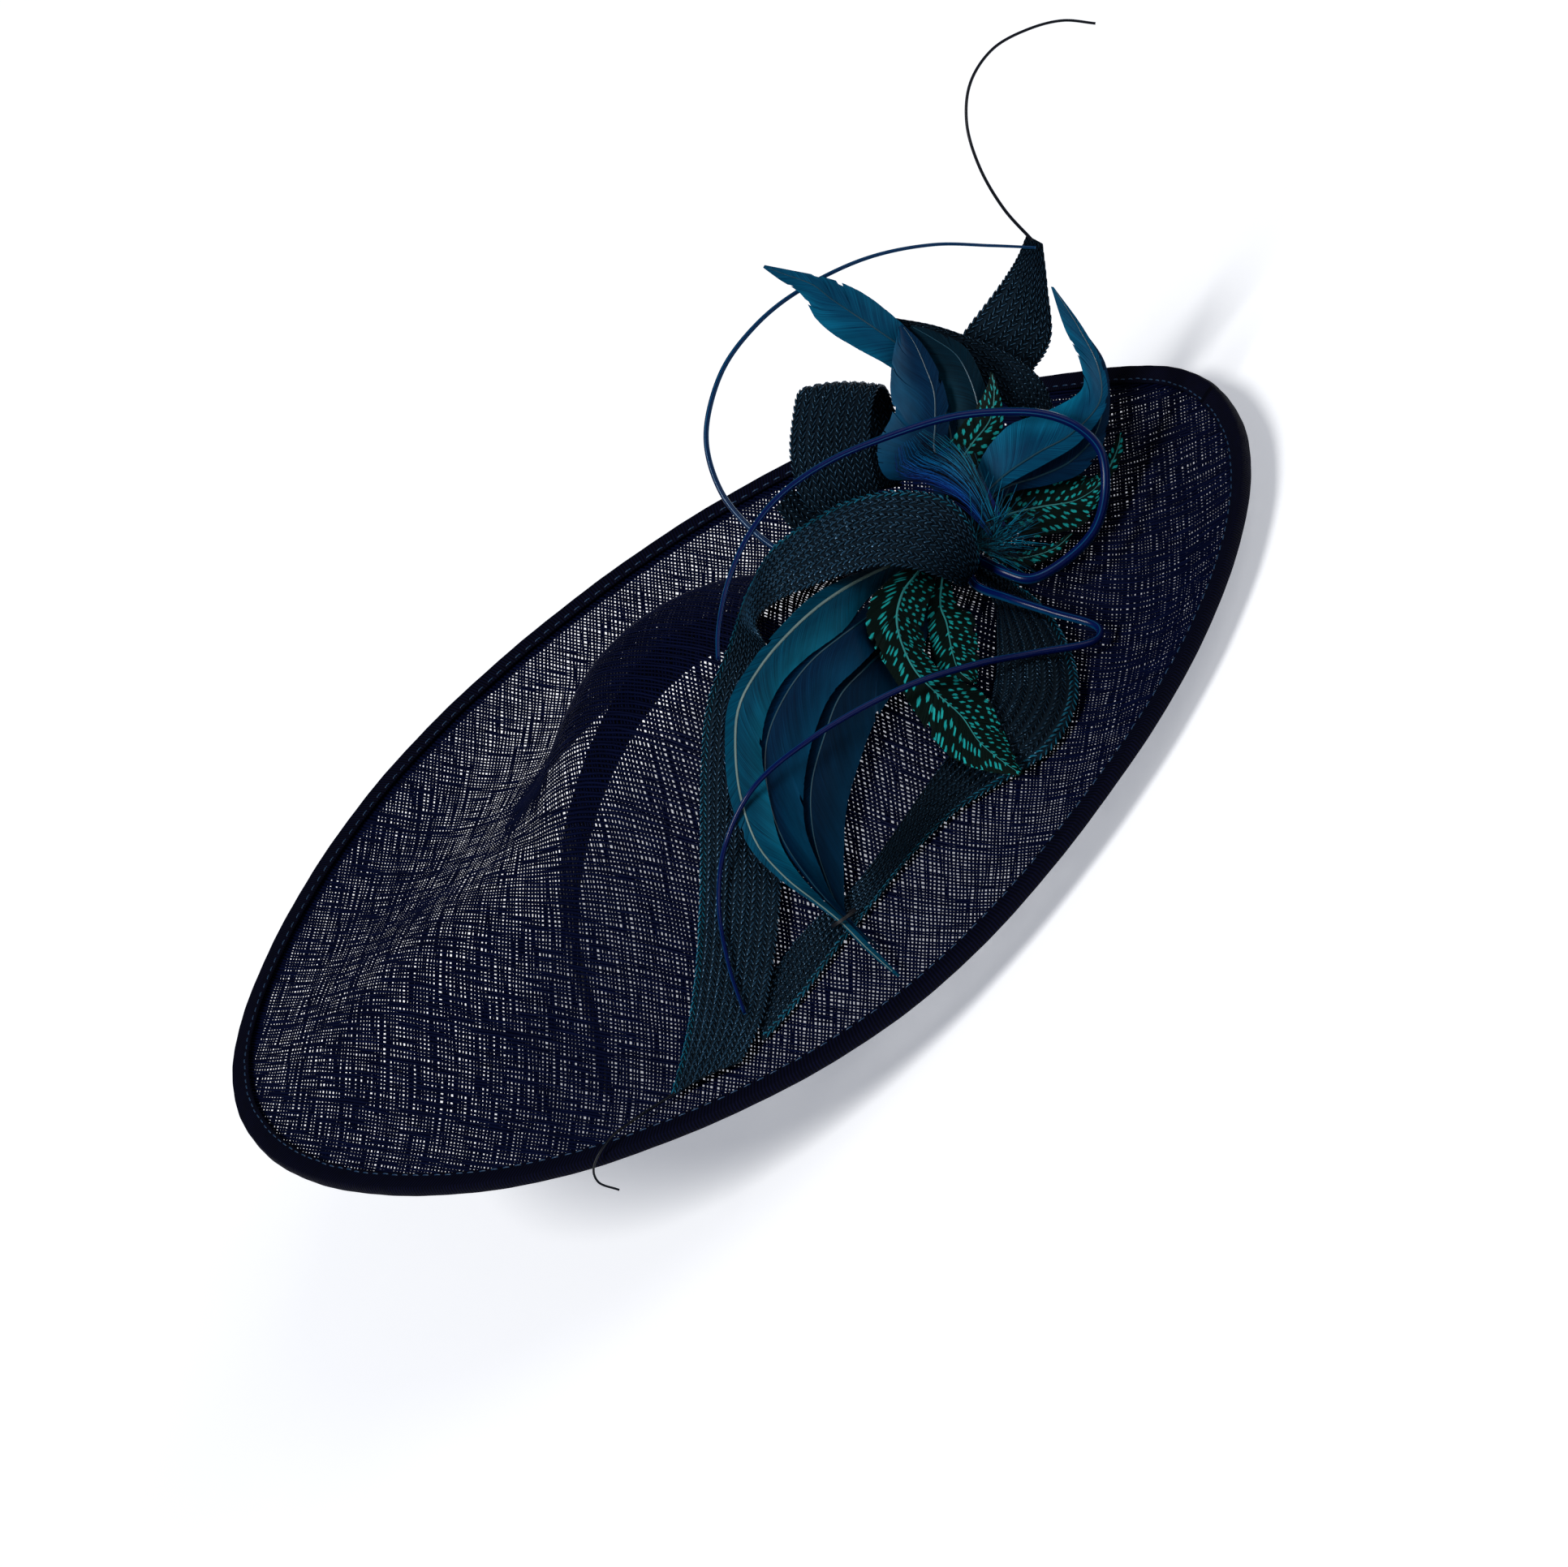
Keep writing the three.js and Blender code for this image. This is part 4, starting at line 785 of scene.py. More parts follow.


# %% [markdown]
# The bands are plaited from flat straw splints, dyed slate, teal or nearly black.
# Each band is a row of narrow plaits sewn side by side, about 3 mm wide, and in
# each plait splints from the two sides cross in a V every 2.5 mm. A bump could
# only hint at that, so each splint is a small pillow of its own on a core, on
# both faces of the band. The core is near black, painted shade in the gaps between
# the splints. Each splint carries painted light, bright along its crest and shaded at
# its edges. Splints vary a little in colour and in how high they lie.

# %% Dyed straw
def straw(name, deep, bright, gloss):
    """Straw with splints between two dyes, with painted light on each splint: a painted highlight
    along its crest and painted shade along its edges
    """
    material = blank_material(name)
    splint = noise(material, 1, 1, 0.35)
    lines = noise(material, 1, 1, 5, 4)
    blended = node(material, "Mix", {0: 0.35, 2: splint, 3: lines}).outputs[0]
    eased = ramp(material, blended, 0.36, 0.66, 0.25)
    # the map's second number holds the place across a splint: whole at its edges
    across = maths(material, "FRACT", map_numbers(material)[1])
    aside = maths(material, "ABSOLUTE", maths(material, "SUBTRACT", across, 0.5))
    # painted light: bright along each splint's crest and darker towards its edges, as light falls
    # on a rounded splint
    painted_crest_light = ramp(material, aside, 0.3, 0.04)
    share = maths(material, "MULTIPLY", eased, painted_crest_light)
    return finish_material(material, {
        "Base Color": mix(material, share, deep, bright),
        "Normal": bump(material, blended, 0.25, 0.0003),
        "Roughness": gloss, "IOR": 1.5, "Specular IOR Level": 0.6,
        "Specular Tint": linear("#8cc0ea"),
    })


slate_straw = straw("plaited_straw_slate", "#000102", "#2a4f6b", 0.24)
teal_straw = straw("plaited_straw_teal", "#00060b", "#147898", 0.26)
# painted shade: the core is near black so that the gaps between the splints show as shadow
core_straw_painted_shade = straw("plaited_straw_core_painted_shade", "#000001", "#010305", 0.8)
black_straw = straw("plaited_straw_blue_black", "#000001", "#0a263a", 0.26)

# %% Plaits
V_PITCH = 2.5
SPLINT_BASE = -0.25
SPLINT_RISE = 1.1
CORE_COLUMNS = 5


def plait(name, strip, material, stands_for, seed, columns, edge_straw=None):
    """A band of plaits sewn side by side; its first plait may be of another straw"""
    rng = np.random.default_rng(seed)
    rows = int(strip.length / V_PITCH)
    i, k, hand, face = (a.ravel() for a in np.meshgrid(
        np.arange(rows), np.arange(columns), [-1, 1], [-1, 1], indexing="ij"))
    count = len(i)
    # a splint runs from the middle of its plait to the side, and back down the band
    begin = (i + 0.25 + 0.25 * hand + 0.5 * (k % 2) + 0.02 * columns) * V_PITCH
    u, v = (a.ravel() for a in np.meshgrid([0, 0.3, 0.7, 1], [-1, 0, 1], indexing="ij"))
    leaf = 1 - 0.55 * (2 * u - 1) ** 2
    pillow = leaf * (1 - v ** 2)
    s = begin[:, None] + V_PITCH * (0.9 * u + 0.38 * v * leaf)[None]
    s = np.clip(s + rng.normal(0, 0.08, (count, 1)), 0, strip.length)
    from_middle = 0.04 + 0.34 * u
    c = (k[:, None] + 0.5 + hand[:, None] * from_middle[None]) / columns
    high = SPLINT_BASE + SPLINT_RISE * pillow[None] * np.exp(rng.normal(0, 0.15, (count, 1)))
    splints = strip.place(s, c, face[:, None] * high).reshape(-1, 3)
    faces = many(grid_faces(4, 3), count, 12)
    shade = rng.uniform(0, 40, (count, 2))
    shade[:, 1] = np.floor(shade[:, 1]) + 0.5
    splint_map = (shade[:, None] + np.stack([u * 0.5, v * 0.48], axis=-1)[None]).reshape(-1, 2)
    core_s, core_c = grid_map(np.linspace(0, strip.length, rows + 2),
                              np.linspace(0.03, 0.97, CORE_COLUMNS)).T
    core = strip.place(core_s, core_c)
    core_faces = grid_faces(rows + 2, CORE_COLUMNS) + len(splints)
    core_map = np.stack([core_s, core_c * 3 + 50], axis=-1)
    piece = make_piece(name, np.concatenate([splints, core]),
                       np.concatenate([faces, core_faces]), material, "plaited_straw",
                       np.concatenate([splint_map, core_map]), stands_for)
    index = np.ones(len(piece.data.polygons), dtype=np.int32)
    index[:len(faces)] = 0
    piece.data.materials.append(core_straw_painted_shade)
    if edge_straw is not None:
        piece.data.materials.append(edge_straw)
        index[:len(faces)] = 2 * (k == 0).repeat(6)
    piece.data.polygons.foreach_set("material_index", index)


# %% Edges of the straw bands
FRONT_LOOP = edges(standing, [
    [1.17, 0.12, 0.26, 1.08, 0.09, 0.25], [1.24, 0.24, 0.28, 1.03, 0.16, 0.34],
    [1.23, 0.38, 0.26, 0.96, 0.25, 0.4], [1.11, 0.51, 0.22, 0.87, 0.33, 0.43],
    [0.95, 0.59, 0.18, 0.75, 0.38, 0.44], [0.77, 0.62, 0.16, 0.62, 0.42, 0.44],
    [0.6, 0.62, 0.18, 0.49, 0.45, 0.45], [0.44, 0.55, 0.3, 0.38, 0.43, 0.55],
]) + edges(lying, [
    [0.25, 0.43, 0.055, 0.36, 0.29, 0.065], [0.05, 0.3, 0.04, 0.3, 0.12, 0.045],
    [-0.11, 0.12, 0.03, 0.16, -0.05, 0.035], [-0.2, 0, 0.03, 0.06, -0.17, 0.03],
    [-0.38, -0.24, 0.04, -0.12, -0.41, 0.055], [-0.57, -0.47, 0.055, -0.31, -0.62, 0.085],
    [-0.76, -0.66, 0.06, -0.48, -0.77, 0.085], [-0.92, -0.79, 0.045, -0.62, -0.84, 0.06],
])
RIGHT_LOOP = edges(lying, [
    [1.23, 0, 0.06, 1.13, -0.03, 0.07], [1.28, -0.18, 0.1, 1.06, -0.14, 0.14],
    [1.24, -0.41, 0.07, 0.97, -0.25, 0.12], [1.13, -0.54, 0.06, 0.9, -0.31, 0.1],
    [0.97, -0.6, 0.05, 0.8, -0.35, 0.09], [0.79, -0.59, 0.035, 0.67, -0.38, 0.09],
    [0.57, -0.57, 0.035, 0.5, -0.43, 0.12], [0.34, -0.6, 0.035, 0.3, -0.5, 0.1],
    [0.12, -0.66, 0.035, 0.06, -0.57, 0.036], [-0.1, -0.72, 0.035, -0.12, -0.58, 0.036],
    [-0.32, -0.79, 0.033, -0.28, -0.62, 0.033], [-0.52, -0.83, 0.033, -0.44, -0.68, 0.033],
])
UPRIGHT_LOOP = edges(standing, [
    [0.84, 0.58, 0.02, 1.03, 0.5, 0.02], [0.78, 0.67, 0.03, 1.05, 0.58, 0.03],
    [0.84, 0.85, 0.04, 1.13, 0.73, 0.04], [0.93, 0.96, 0.02, 1.21, 0.82, 0.02],
    [1.01, 1.03, -0.02, 1.27, 0.86, -0.04], [1.05, 1.01, -0.09, 1.29, 0.84, -0.12],
    [1.03, 0.92, -0.15, 1.27, 0.76, -0.18], [0.98, 0.75, -0.17, 1.2, 0.64, -0.19],
    [0.97, 0.6, -0.15, 1.12, 0.52, -0.15],
])
SHORT_END = edges(standing, [
    [0.88, 0.42, -0.06, 0.96, 0.47, -0.08], [0.78, 0.51, -0.06, 0.88, 0.57, -0.08],
    [0.7, 0.6, -0.05, 0.81, 0.66, -0.07], [0.69, 0.73, -0.06, 0.79, 0.76, -0.08],
])
POINTED_END = edges(standing, [
    [1.4, 0.52, -0.15, 1.34, 0.66, -0.15], [1.6, 0.56, -0.18, 1.5, 0.8, -0.18],
    [1.76, 0.57, -0.2, 1.66, 0.855, -0.2], [1.88, 0.62, -0.2, 1.85, 0.91, -0.2],
    [1.99, 0.79, -0.18, 1.96, 0.95, -0.18], [2.07, 0.93, -0.16, 2.04, 0.995, -0.16],
])
BACK_LOOP = edges(standing, [
    [1.5, 0.26, -0.02, 1.46, 0.18, -0.02], [1.66, 0.33, -0.04, 1.56, 0.28, -0.04],
    [1.74, 0.42, -0.06, 1.63, 0.37, -0.06], [1.77, 0.53, -0.08, 1.61, 0.49, -0.08],
    [1.74, 0.66, -0.09, 1.58, 0.61, -0.09], [1.66, 0.8, -0.09, 1.53, 0.73, -0.09],
    [1.57, 0.93, -0.08, 1.48, 0.84, -0.08], [1.47, 1.035, -0.07, 1.44, 0.96, -0.07],
])

# %% The straw bands
for name, rows, dyed, seed, columns, edge_straw in (
    ("front_loop", FRONT_LOOP, slate_straw, 11, 9, teal_straw),
    ("right_loop", RIGHT_LOOP, black_straw, 12, 7, teal_straw),
    ("upright_loop", UPRIGHT_LOOP, slate_straw, 13, 9, None),
    ("short_end", SHORT_END, black_straw, 14, 3, None),
    ("pointed_end", POINTED_END, slate_straw, 15, 8, None),
    ("back_loop", BACK_LOOP, black_straw, 16, 5, None),
):
    plait(name + "_plaits", Strip(rows, thick=1.5), dyed, ["straw_" + name], seed, columns,
          edge_straw)

# %% [markdown]
# A feather is a shaft with a vane on each side, and a vane is hundreds of barbs that
# hook together, slanting towards the tip. Goose quill feathers are dyed teal: the
# barbs are satiny, deeper in the middle and greener at the edge, and here and there
# they have come unhooked and left a notch. Each barb is its own thin strip that
# overlaps the next like a roof tile, over a plain vane that stops light between them.

# %% Dyed goose feather
def vane_material(name, deep, bright, edge_tint):
    """Barbs of a dyed feather: the texture map is along the shaft and out from it"""
    material = blank_material(name)
    streak = noise(material, 1.6, 0.04, detail=3)
    from_shaft = maths(material, "ABSOLUTE", map_numbers(material)[1])
    base = mix(material, ramp(material, streak, 0.3, 0.75), deep, bright)
    edged = mix(material, ramp(material, from_shaft, 4.0, 16.0, 0.0, 0.7), base, edge_tint)
    cloud = ramp(material, noise(material, 0.06, 0.08), 0.35, 0.7, 0.0, 0.6)
    return finish_material(material, {
        "Base Color": mix(material, cloud, edged, deep),
        "Normal": bump(material, streak, 0.35, 0.0003),
        "Roughness": 0.5, "IOR": 1.54, "Specular IOR Level": 0.06,
    })


# painted shade: a darker copy of the teal vane, for the back feather that lies in shadow
goose_in_painted_shade = vane_material("goose_feather_teal_painted_shade", "#00141f", "#022c3f", "#05465a")
light_goose = vane_material("goose_feather_teal", "#003050", "#046890", "#0a90b8")
mid_goose = vane_material("goose_feather_petrol", "#001a34", "#023a62", "#04587e")
deep_goose = vane_material("goose_feather_deep_petrol", "#001629", "#012a4a", "#033c5c")
green_goose = vane_material("goose_feather_green_teal", "#002c40", "#046286", "#0e86a6")


# %% Dyed feather shafts
def shaft_material(name, dark, pale):
    """Keratin, horny and smooth, streaked along the shaft"""
    material = blank_material(name)
    return finish_material(material, {
        "Base Color": mix(material, noise(material, 0.08, 2), dark, pale),
        "Roughness": 0.3, "IOR": 1.54, "Coat Weight": 0.3, "Coat Roughness": 0.2,
    })


teal_shaft = shaft_material("feather_shaft_teal", "#022c3c", "#0a4c62")
pale_shaft = shaft_material("feather_shaft_pale", "#2c5a5e", "#93a9a2")

# %% Barbs, vanes and shafts
BARB_STEP = 0.6
BARB_PLACES = 6
UNDER_ROWS = 60
UNDER_COLUMNS = 9
SHAFT_STEPS = 70
SHAFT_SIDES = 6


def feather(name, strip, vane, shaft_dye, slot, stands_for, seed, shaft_at=0.5, slant=1.1,
            shaft_width=1.1, notches=4, begin=2.0, loose=0.0):
    """A feather on a strip; shaft_at is the shaft's place across, slant the barbs' lean"""
    rng = np.random.default_rng(seed)
    length = strip.length
    roots = np.arange(begin, length - 0.8, BARB_STEP)
    u = np.linspace(0, 1, BARB_PLACES)
    splits = np.sort(rng.uniform(0.25 * length, 0.97 * length, notches))
    places, maps = [], []
    for hand in (0, 1):
        reach = abs(hand - shaft_at)
        width = strip.blend(strip.width, roots) * reach
        tip = roots + slant * width * (1 + 0.006 * rng.normal(size=len(roots)))
        mine = splits[hand::2]
        for split in mine:
            after = roots - split
            tip += np.where(after > 0, rng.uniform(2.0, 4.5) * np.exp(-after / 4), 0)
        tip = np.minimum(tip, roots + (length - roots) * 0.99)
        s = roots[:, None] + (tip - roots)[:, None] * u ** 0.85
        out = 1 + 0.004 * rng.normal(size=(len(roots), 1))
        out = out + loose * rng.uniform(0, 1, (len(roots), 1))
        c = shaft_at + (hand - shaft_at) * u[None] * out
        half = 1.2 * BARB_STEP * (1 - 0.15 * u)[None]
        lift = 0.12 + 0.1 * np.sin(math.pi * u)[None] + 0.02 * rng.normal(size=(len(roots), 1))
        lower = strip.place(s - half, c, lift - 0.1)
        upper = strip.place(np.minimum(s + half, length), c, lift + 0.1)
        places.append(np.stack([lower, upper], axis=2).reshape(-1, 3))
        out_mm = u[None] * width[:, None] * (1 if hand else -1)
        root_mm = np.broadcast_to(roots[:, None], out_mm.shape)
        one = np.stack([root_mm, out_mm], axis=-1)
        other = np.stack([root_mm + BARB_STEP * 0.4, out_mm], axis=-1)
        maps.append(np.stack([one, other], axis=2).reshape(-1, 2))
    barbs = np.concatenate(places)
    barb_faces = many(grid_faces(BARB_PLACES, 2), 2 * len(roots), 2 * BARB_PLACES)
    s, c = grid_map(np.linspace(0, length, UNDER_ROWS), np.linspace(0.06, 0.94, UNDER_COLUMNS)).T
    under = strip.place(s, c, -0.08)
    out_mm = (c - shaft_at) * strip.blend(strip.width, s)
    under_map = np.stack([s - slant * np.abs(out_mm), out_mm], axis=-1)
    under_faces = grid_faces(UNDER_ROWS, UNDER_COLUMNS) + len(barbs)
    along = np.linspace(0, length * 0.985, SHAFT_STEPS)
    radius = shaft_width / 2 * (1 - 0.8 * along / length)
    rings = strand_rings(strip.place(along, shaft_at, 0.25), radius, SHAFT_SIDES)
    shaft_map = grid_map(along, np.arange(SHAFT_SIDES) * 0.5)
    shaft_faces = grid_faces(SHAFT_STEPS, SHAFT_SIDES, close_columns=True)
    shaft_faces = shaft_faces + len(barbs) + len(under)
    faces = np.concatenate([barb_faces, under_faces, shaft_faces])
    piece = make_piece(name, np.concatenate([barbs, under, rings.reshape(-1, 3)]), faces, vane,
                       slot, np.concatenate([*maps, under_map, shaft_map]), stands_for)
    piece.data.materials.append(shaft_dye)
    index = np.zeros(len(faces), dtype=np.int32)
    index[-len(shaft_faces):] = 1
    piece.data.polygons.foreach_set("material_index", index)


# %% Edges of the goose feathers
GOOSE_TALL = edges(standing, [
    [1.32, 0.58, -0.02, 1.42, 0.56, -0.02], [1.37, 0.8, -0.03, 1.49, 0.8, -0.03],
    [1.34, 0.91, -0.03, 1.48, 0.97, -0.03], [1.29, 1.02, -0.02, 1.46, 1.07, -0.02],
    [1.245, 1.13, 0, 1.43, 1.17, 0], [1.23, 1.21, 0.01, 1.39, 1.25, 0.01],
    [1.24, 1.31, 0.02, 1.34, 1.32, 0.02], [1.205, 1.41, 0.04, 1.25, 1.42, 0.04],
    [1.185, 1.475, 0.05, 1.195, 1.48, 0.05],
])
GOOSE_BACK_LEFT = edges(standing, [
    [1.2, 0.48, 0.08, 1.32, 0.44, 0.08], [1.09, 0.58, 0.07, 1.34, 0.54, 0.07],
    [1.13, 0.69, 0.06, 1.41, 0.62, 0.06], [1.25, 0.76, 0.05, 1.46, 0.72, 0.05],
    [1.3, 0.84, 0.04, 1.485, 0.82, 0.04], [1.38, 0.93, 0.03, 1.49, 0.91, 0.03],
    [1.46, 1, 0.02, 1.475, 1, 0.02],
])
GOOSE_BACK_RIGHT = edges(standing, [
    [1.36, 0.46, 0.04, 1.45, 0.42, 0.04], [1.4, 0.56, 0.03, 1.56, 0.58, 0.03],
    [1.44, 0.66, 0.02, 1.6, 0.69, 0.02], [1.465, 0.76, 0.01, 1.61, 0.8, 0.01],
    [1.475, 0.86, 0.005, 1.56, 0.9, 0.005], [1.485, 0.97, 0, 1.5, 0.98, 0],
])
GOOSE_RIGHT_FRONT = edges(standing, [
    [1.32, 0.36, 0.13, 1.34, 0.3, 0.14], [1.43, 0.435, 0.12, 1.46, 0.29, 0.15],
    [1.57, 0.465, 0.11, 1.6, 0.27, 0.15], [1.71, 0.425, 0.1, 1.74, 0.26, 0.14],
    [1.87, 0.415, 0.08, 1.9, 0.31, 0.12], [1.92, 0.5, 0.06, 1.975, 0.42, 0.08],
    [1.95, 0.64, 0.04, 2.003, 0.58, 0.05], [1.998, 0.785, 0.02, 2.006, 0.78, 0.02],
])
GOOSE_RIGHT_BACK = edges(standing, [
    [1.4, 0.33, 0.08, 1.43, 0.26, 0.09], [1.52, 0.32, 0.08, 1.56, 0.2, 0.09],
    [1.65, 0.31, 0.08, 1.68, 0.165, 0.09], [1.78, 0.31, 0.07, 1.8, 0.2, 0.08],
    [1.88, 0.36, 0.05, 1.91, 0.3, 0.06], [1.955, 0.5, 0.03, 1.992, 0.44, 0.035],
    [1.993, 0.61, 0.01, 2, 0.6, 0.01],
])
GOOSE_LOWER_FIRST = edges(standing, [
    [0.8, 0.36, 0.3, 0.77, 0.26, 0.38],
]) + edges(lying, [
    [0.62, 0.39, 0.18, 0.62, 0.22, 0.15], [0.45, 0.37, 0.14, 0.46, 0.22, 0.14],
    [0.29, 0.33, 0.14, 0.33, 0.2, 0.14], [0.13, 0.26, 0.14, 0.2, 0.13, 0.14],
    [0.03, 0.15, 0.145, 0.11, 0.03, 0.145], [-0.08, -0.03, 0.145, 0.03, -0.13, 0.145],
    [-0.13, -0.22, 0.13, -0.03, -0.28, 0.13], [-0.11, -0.38, 0.13, -0.04, -0.42, 0.13],
    [-0.065, -0.52, 0.13, -0.025, -0.54, 0.13], [-0.03, -0.64, 0.13, -0.005, -0.65, 0.13],
    [-0.01, -0.78, 0.1, 0.015, -0.78, 0.1], [0.025, -0.93, 0.07, 0.035, -0.93, 0.07],
])
GOOSE_LOWER_SECOND = edges(lying, [
    [0.79, 0.24, 0.094, 0.79, 0.12, 0.063], [0.62, 0.25, 0.11, 0.6, 0.08, 0.14],
    [0.46, 0.25, 0.11, 0.46, 0.06, 0.115], [0.31, 0.22, 0.105, 0.33, -0.01, 0.11],
    [0.15, 0.14, 0.1, 0.18, -0.14, 0.11], [0.04, -0.01, 0.1, 0.08, -0.28, 0.11],
    [-0.03, -0.2, 0.1, 0.035, -0.43, 0.11], [-0.035, -0.42, 0.105, 0.01, -0.54, 0.11],
    [-0.015, -0.62, 0.105, 0.01, -0.63, 0.105], [0.01, -0.76, 0.09, 0.02, -0.76, 0.09],
])
GOOSE_LOWER_THIRD = edges(lying, [
    [0.8, 0.11, 0.023, 0.82, -0.01, 0.104], [0.62, 0.1, 0.065, 0.62, -0.08, 0.08],
    [0.46, 0.08, 0.072, 0.5, -0.13, 0.075], [0.33, 0, 0.07, 0.38, -0.21, 0.075],
    [0.17, -0.13, 0.07, 0.25, -0.31, 0.075], [0.08, -0.27, 0.07, 0.14, -0.44, 0.075],
    [0.03, -0.43, 0.07, 0.06, -0.55, 0.085], [-0.005, -0.62, 0.09, 0.012, -0.63, 0.09],
    [0.03, -0.8, 0.055, 0.038, -0.8, 0.055],
])

# %% The goose feathers
for name, rows, vane, shaft, seed, extras in (
    ("goose_tall", GOOSE_TALL, light_goose, teal_shaft, 21,
     {"shaft_at": 0.55, "slant": 1.3, "notches": 5}),
    ("goose_back_left", GOOSE_BACK_LEFT, mid_goose, teal_shaft, 22,
     {"shaft_at": 0.8, "notches": 5}),
    ("goose_back_right", GOOSE_BACK_RIGHT, goose_in_painted_shade, teal_shaft, 23, {"shaft_at": 0.7}),
    ("goose_right_front", GOOSE_RIGHT_FRONT, light_goose, teal_shaft, 24,
     {"shaft_at": 0.75, "slant": 1.3, "notches": 6}),
    ("goose_right_back", GOOSE_RIGHT_BACK, mid_goose, teal_shaft, 25, {"shaft_at": 0.6}),
    ("goose_lower_first", GOOSE_LOWER_FIRST, green_goose, pale_shaft, 26,
     {"shaft_at": 0.3, "slant": 1.2, "shaft_width": 1.5}),
    ("goose_lower_second", GOOSE_LOWER_SECOND, mid_goose, teal_shaft, 27,
     {"shaft_at": 0.3, "slant": 1.2}),
    ("goose_lower_third", GOOSE_LOWER_THIRD, deep_goose, teal_shaft, 28,
     {"shaft_at": 0.25, "slant": 1.2, "notches": 5}),
):
    feather(name + "_feather", Strip(rows), vane, shaft, "goose_feather", [name], seed, **extras)

# %% [markdown]
# Guinea fowl feathers are spotted by nature. Dyed turquoise, their white spots turn
# bright and the dark ground turns green-black. The spots stand in rows about 3 mm
# apart beside the shaft, and near the edge they stretch into dashes along the barbs.
# A cell pattern on the texture map draws them, because that map runs along the barbs.

# %% Spotted guinea feather
SPOT_PITCH = 3.0


def spotted(name, left_stretch, right_stretch, size):
    """A spotted vane; a stretch is how long spots are along a barb, size is their radius"""
    material = blank_material(name)
    side = maths(material, "GREATER_THAN", map_numbers(material)[1], 0)
    left, right = (node(material, "TexVoronoi", {
        "Vector": millimetres(material, 1 / SPOT_PITCH, 1 / (SPOT_PITCH * stretch)),
        "Scale": 1, "Randomness": 0.55}, voronoi_dimensions="2D", feature="F1").outputs["Distance"]
        for stretch in (left_stretch, right_stretch))
    cells = node(material, "Mix", {0: side, 2: left, 3: right}).outputs[0]
    ragged = maths(material, "MULTIPLY_ADD", noise(material, 2.5, 0.3), 0.14, cells)
    spot = ramp(material, ragged, size + 0.06, size)
    streak = noise(material, 2, 0.1, detail=3)
    ground = mix(material, streak, "#010606", "#10211d")
    dyed = mix(material, streak, "#0a7c88", "#2cd0c8")
    return finish_material(material, {
        "Base Color": mix(material, spot, ground, dyed),
        "Normal": bump(material, streak, 0.3, 0.0003),
        "Roughness": 0.55, "IOR": 1.54, "Specular IOR Level": 0.06,
    })


round_spots = spotted("guinea_feather_round_spots", 1.1, 1.3, 0.27)
long_spots = spotted("guinea_feather_long_spots", 2.2, 1.1, 0.26)
guinea_shaft = shaft_material("guinea_shaft_turquoise", "#0d4a50", "#3fb0ac")

# %% Edges of the guinea feathers
GUINEA_LOWER_LEFT = edges(standing, [
    [0.9, 0.27, 0.34, 1.01, 0.17, 0.3],
]) + edges(lying, [
    [0.78, 0.25, 0.23, 0.96, 0.13, 0.26], [0.7, 0.17, 0.18, 0.9, 0.09, 0.2],
    [0.68, 0.06, 0.16, 0.84, 0.01, 0.17], [0.67, -0.06, 0.15, 0.82, -0.09, 0.16],
    [0.66, -0.2, 0.16, 0.86, -0.19, 0.16], [0.66, -0.32, 0.17, 0.9, -0.28, 0.17],
    [0.68, -0.42, 0.17, 0.88, -0.41, 0.17], [0.75, -0.52, 0.17, 0.86, -0.51, 0.16],
    [0.83, -0.6, 0.13, 0.845, -0.6, 0.13],
])
GUINEA_LOWER_RIGHT = edges(lying, [
    [0.93, 0.1, 0.17, 1.02, 0.05, 0.17], [0.88, 0.03, 0.14, 1.04, -0.02, 0.18],
    [0.84, -0.06, 0.12, 1, -0.1, 0.16], [0.83, -0.14, 0.12, 0.95, -0.18, 0.15],
    [0.89, -0.22, 0.13, 0.905, -0.23, 0.13],
])
GUINEA_RIGHT = edges(standing, [
    [1.38, 0.3, 0.03, 1.36, 0.11, 0.12], [1.5, 0.27, 0.02, 1.46, 0.05, 0.1],
    [1.61, 0.2, 0.02, 1.57, 0.01, 0.08], [1.69, 0.14, 0.03, 1.66, 0.04, 0.06],
    [1.73, 0.105, 0.04, 1.732, 0.095, 0.04],
])
GUINEA_RIGHT_LOW = edges(standing, [
    [1.31, 0.08, 0.15, 1.29, 0.02, 0.17], [1.43, 0.02, 0.14, 1.42, -0.02, 0.15],
    [1.52, 0.01, 0.12, 1.522, 0, 0.12],
])
GUINEA_TOP = edges(standing, [
    [1.28, 0.49, 0.13, 1.3, 0.4, 0.13], [1.4, 0.56, 0.09, 1.42, 0.42, 0.09],
    [1.51, 0.59, 0.07, 1.54, 0.46, 0.07], [1.6, 0.635, 0.06, 1.61, 0.58, 0.06],
    [1.63, 0.665, 0.05, 1.635, 0.655, 0.05],
])
GUINEA_TIP = edges(standing, [
    [1.66, 0.11, 0.022, 1.68, 0.07, 0.03], [1.76, 0.14, 0.01, 1.79, 0.1, 0.015],
    [1.84, 0.18, 0, 1.86, 0.15, 0], [1.88, 0.2, -0.01, 1.886, 0.195, -0.01],
])

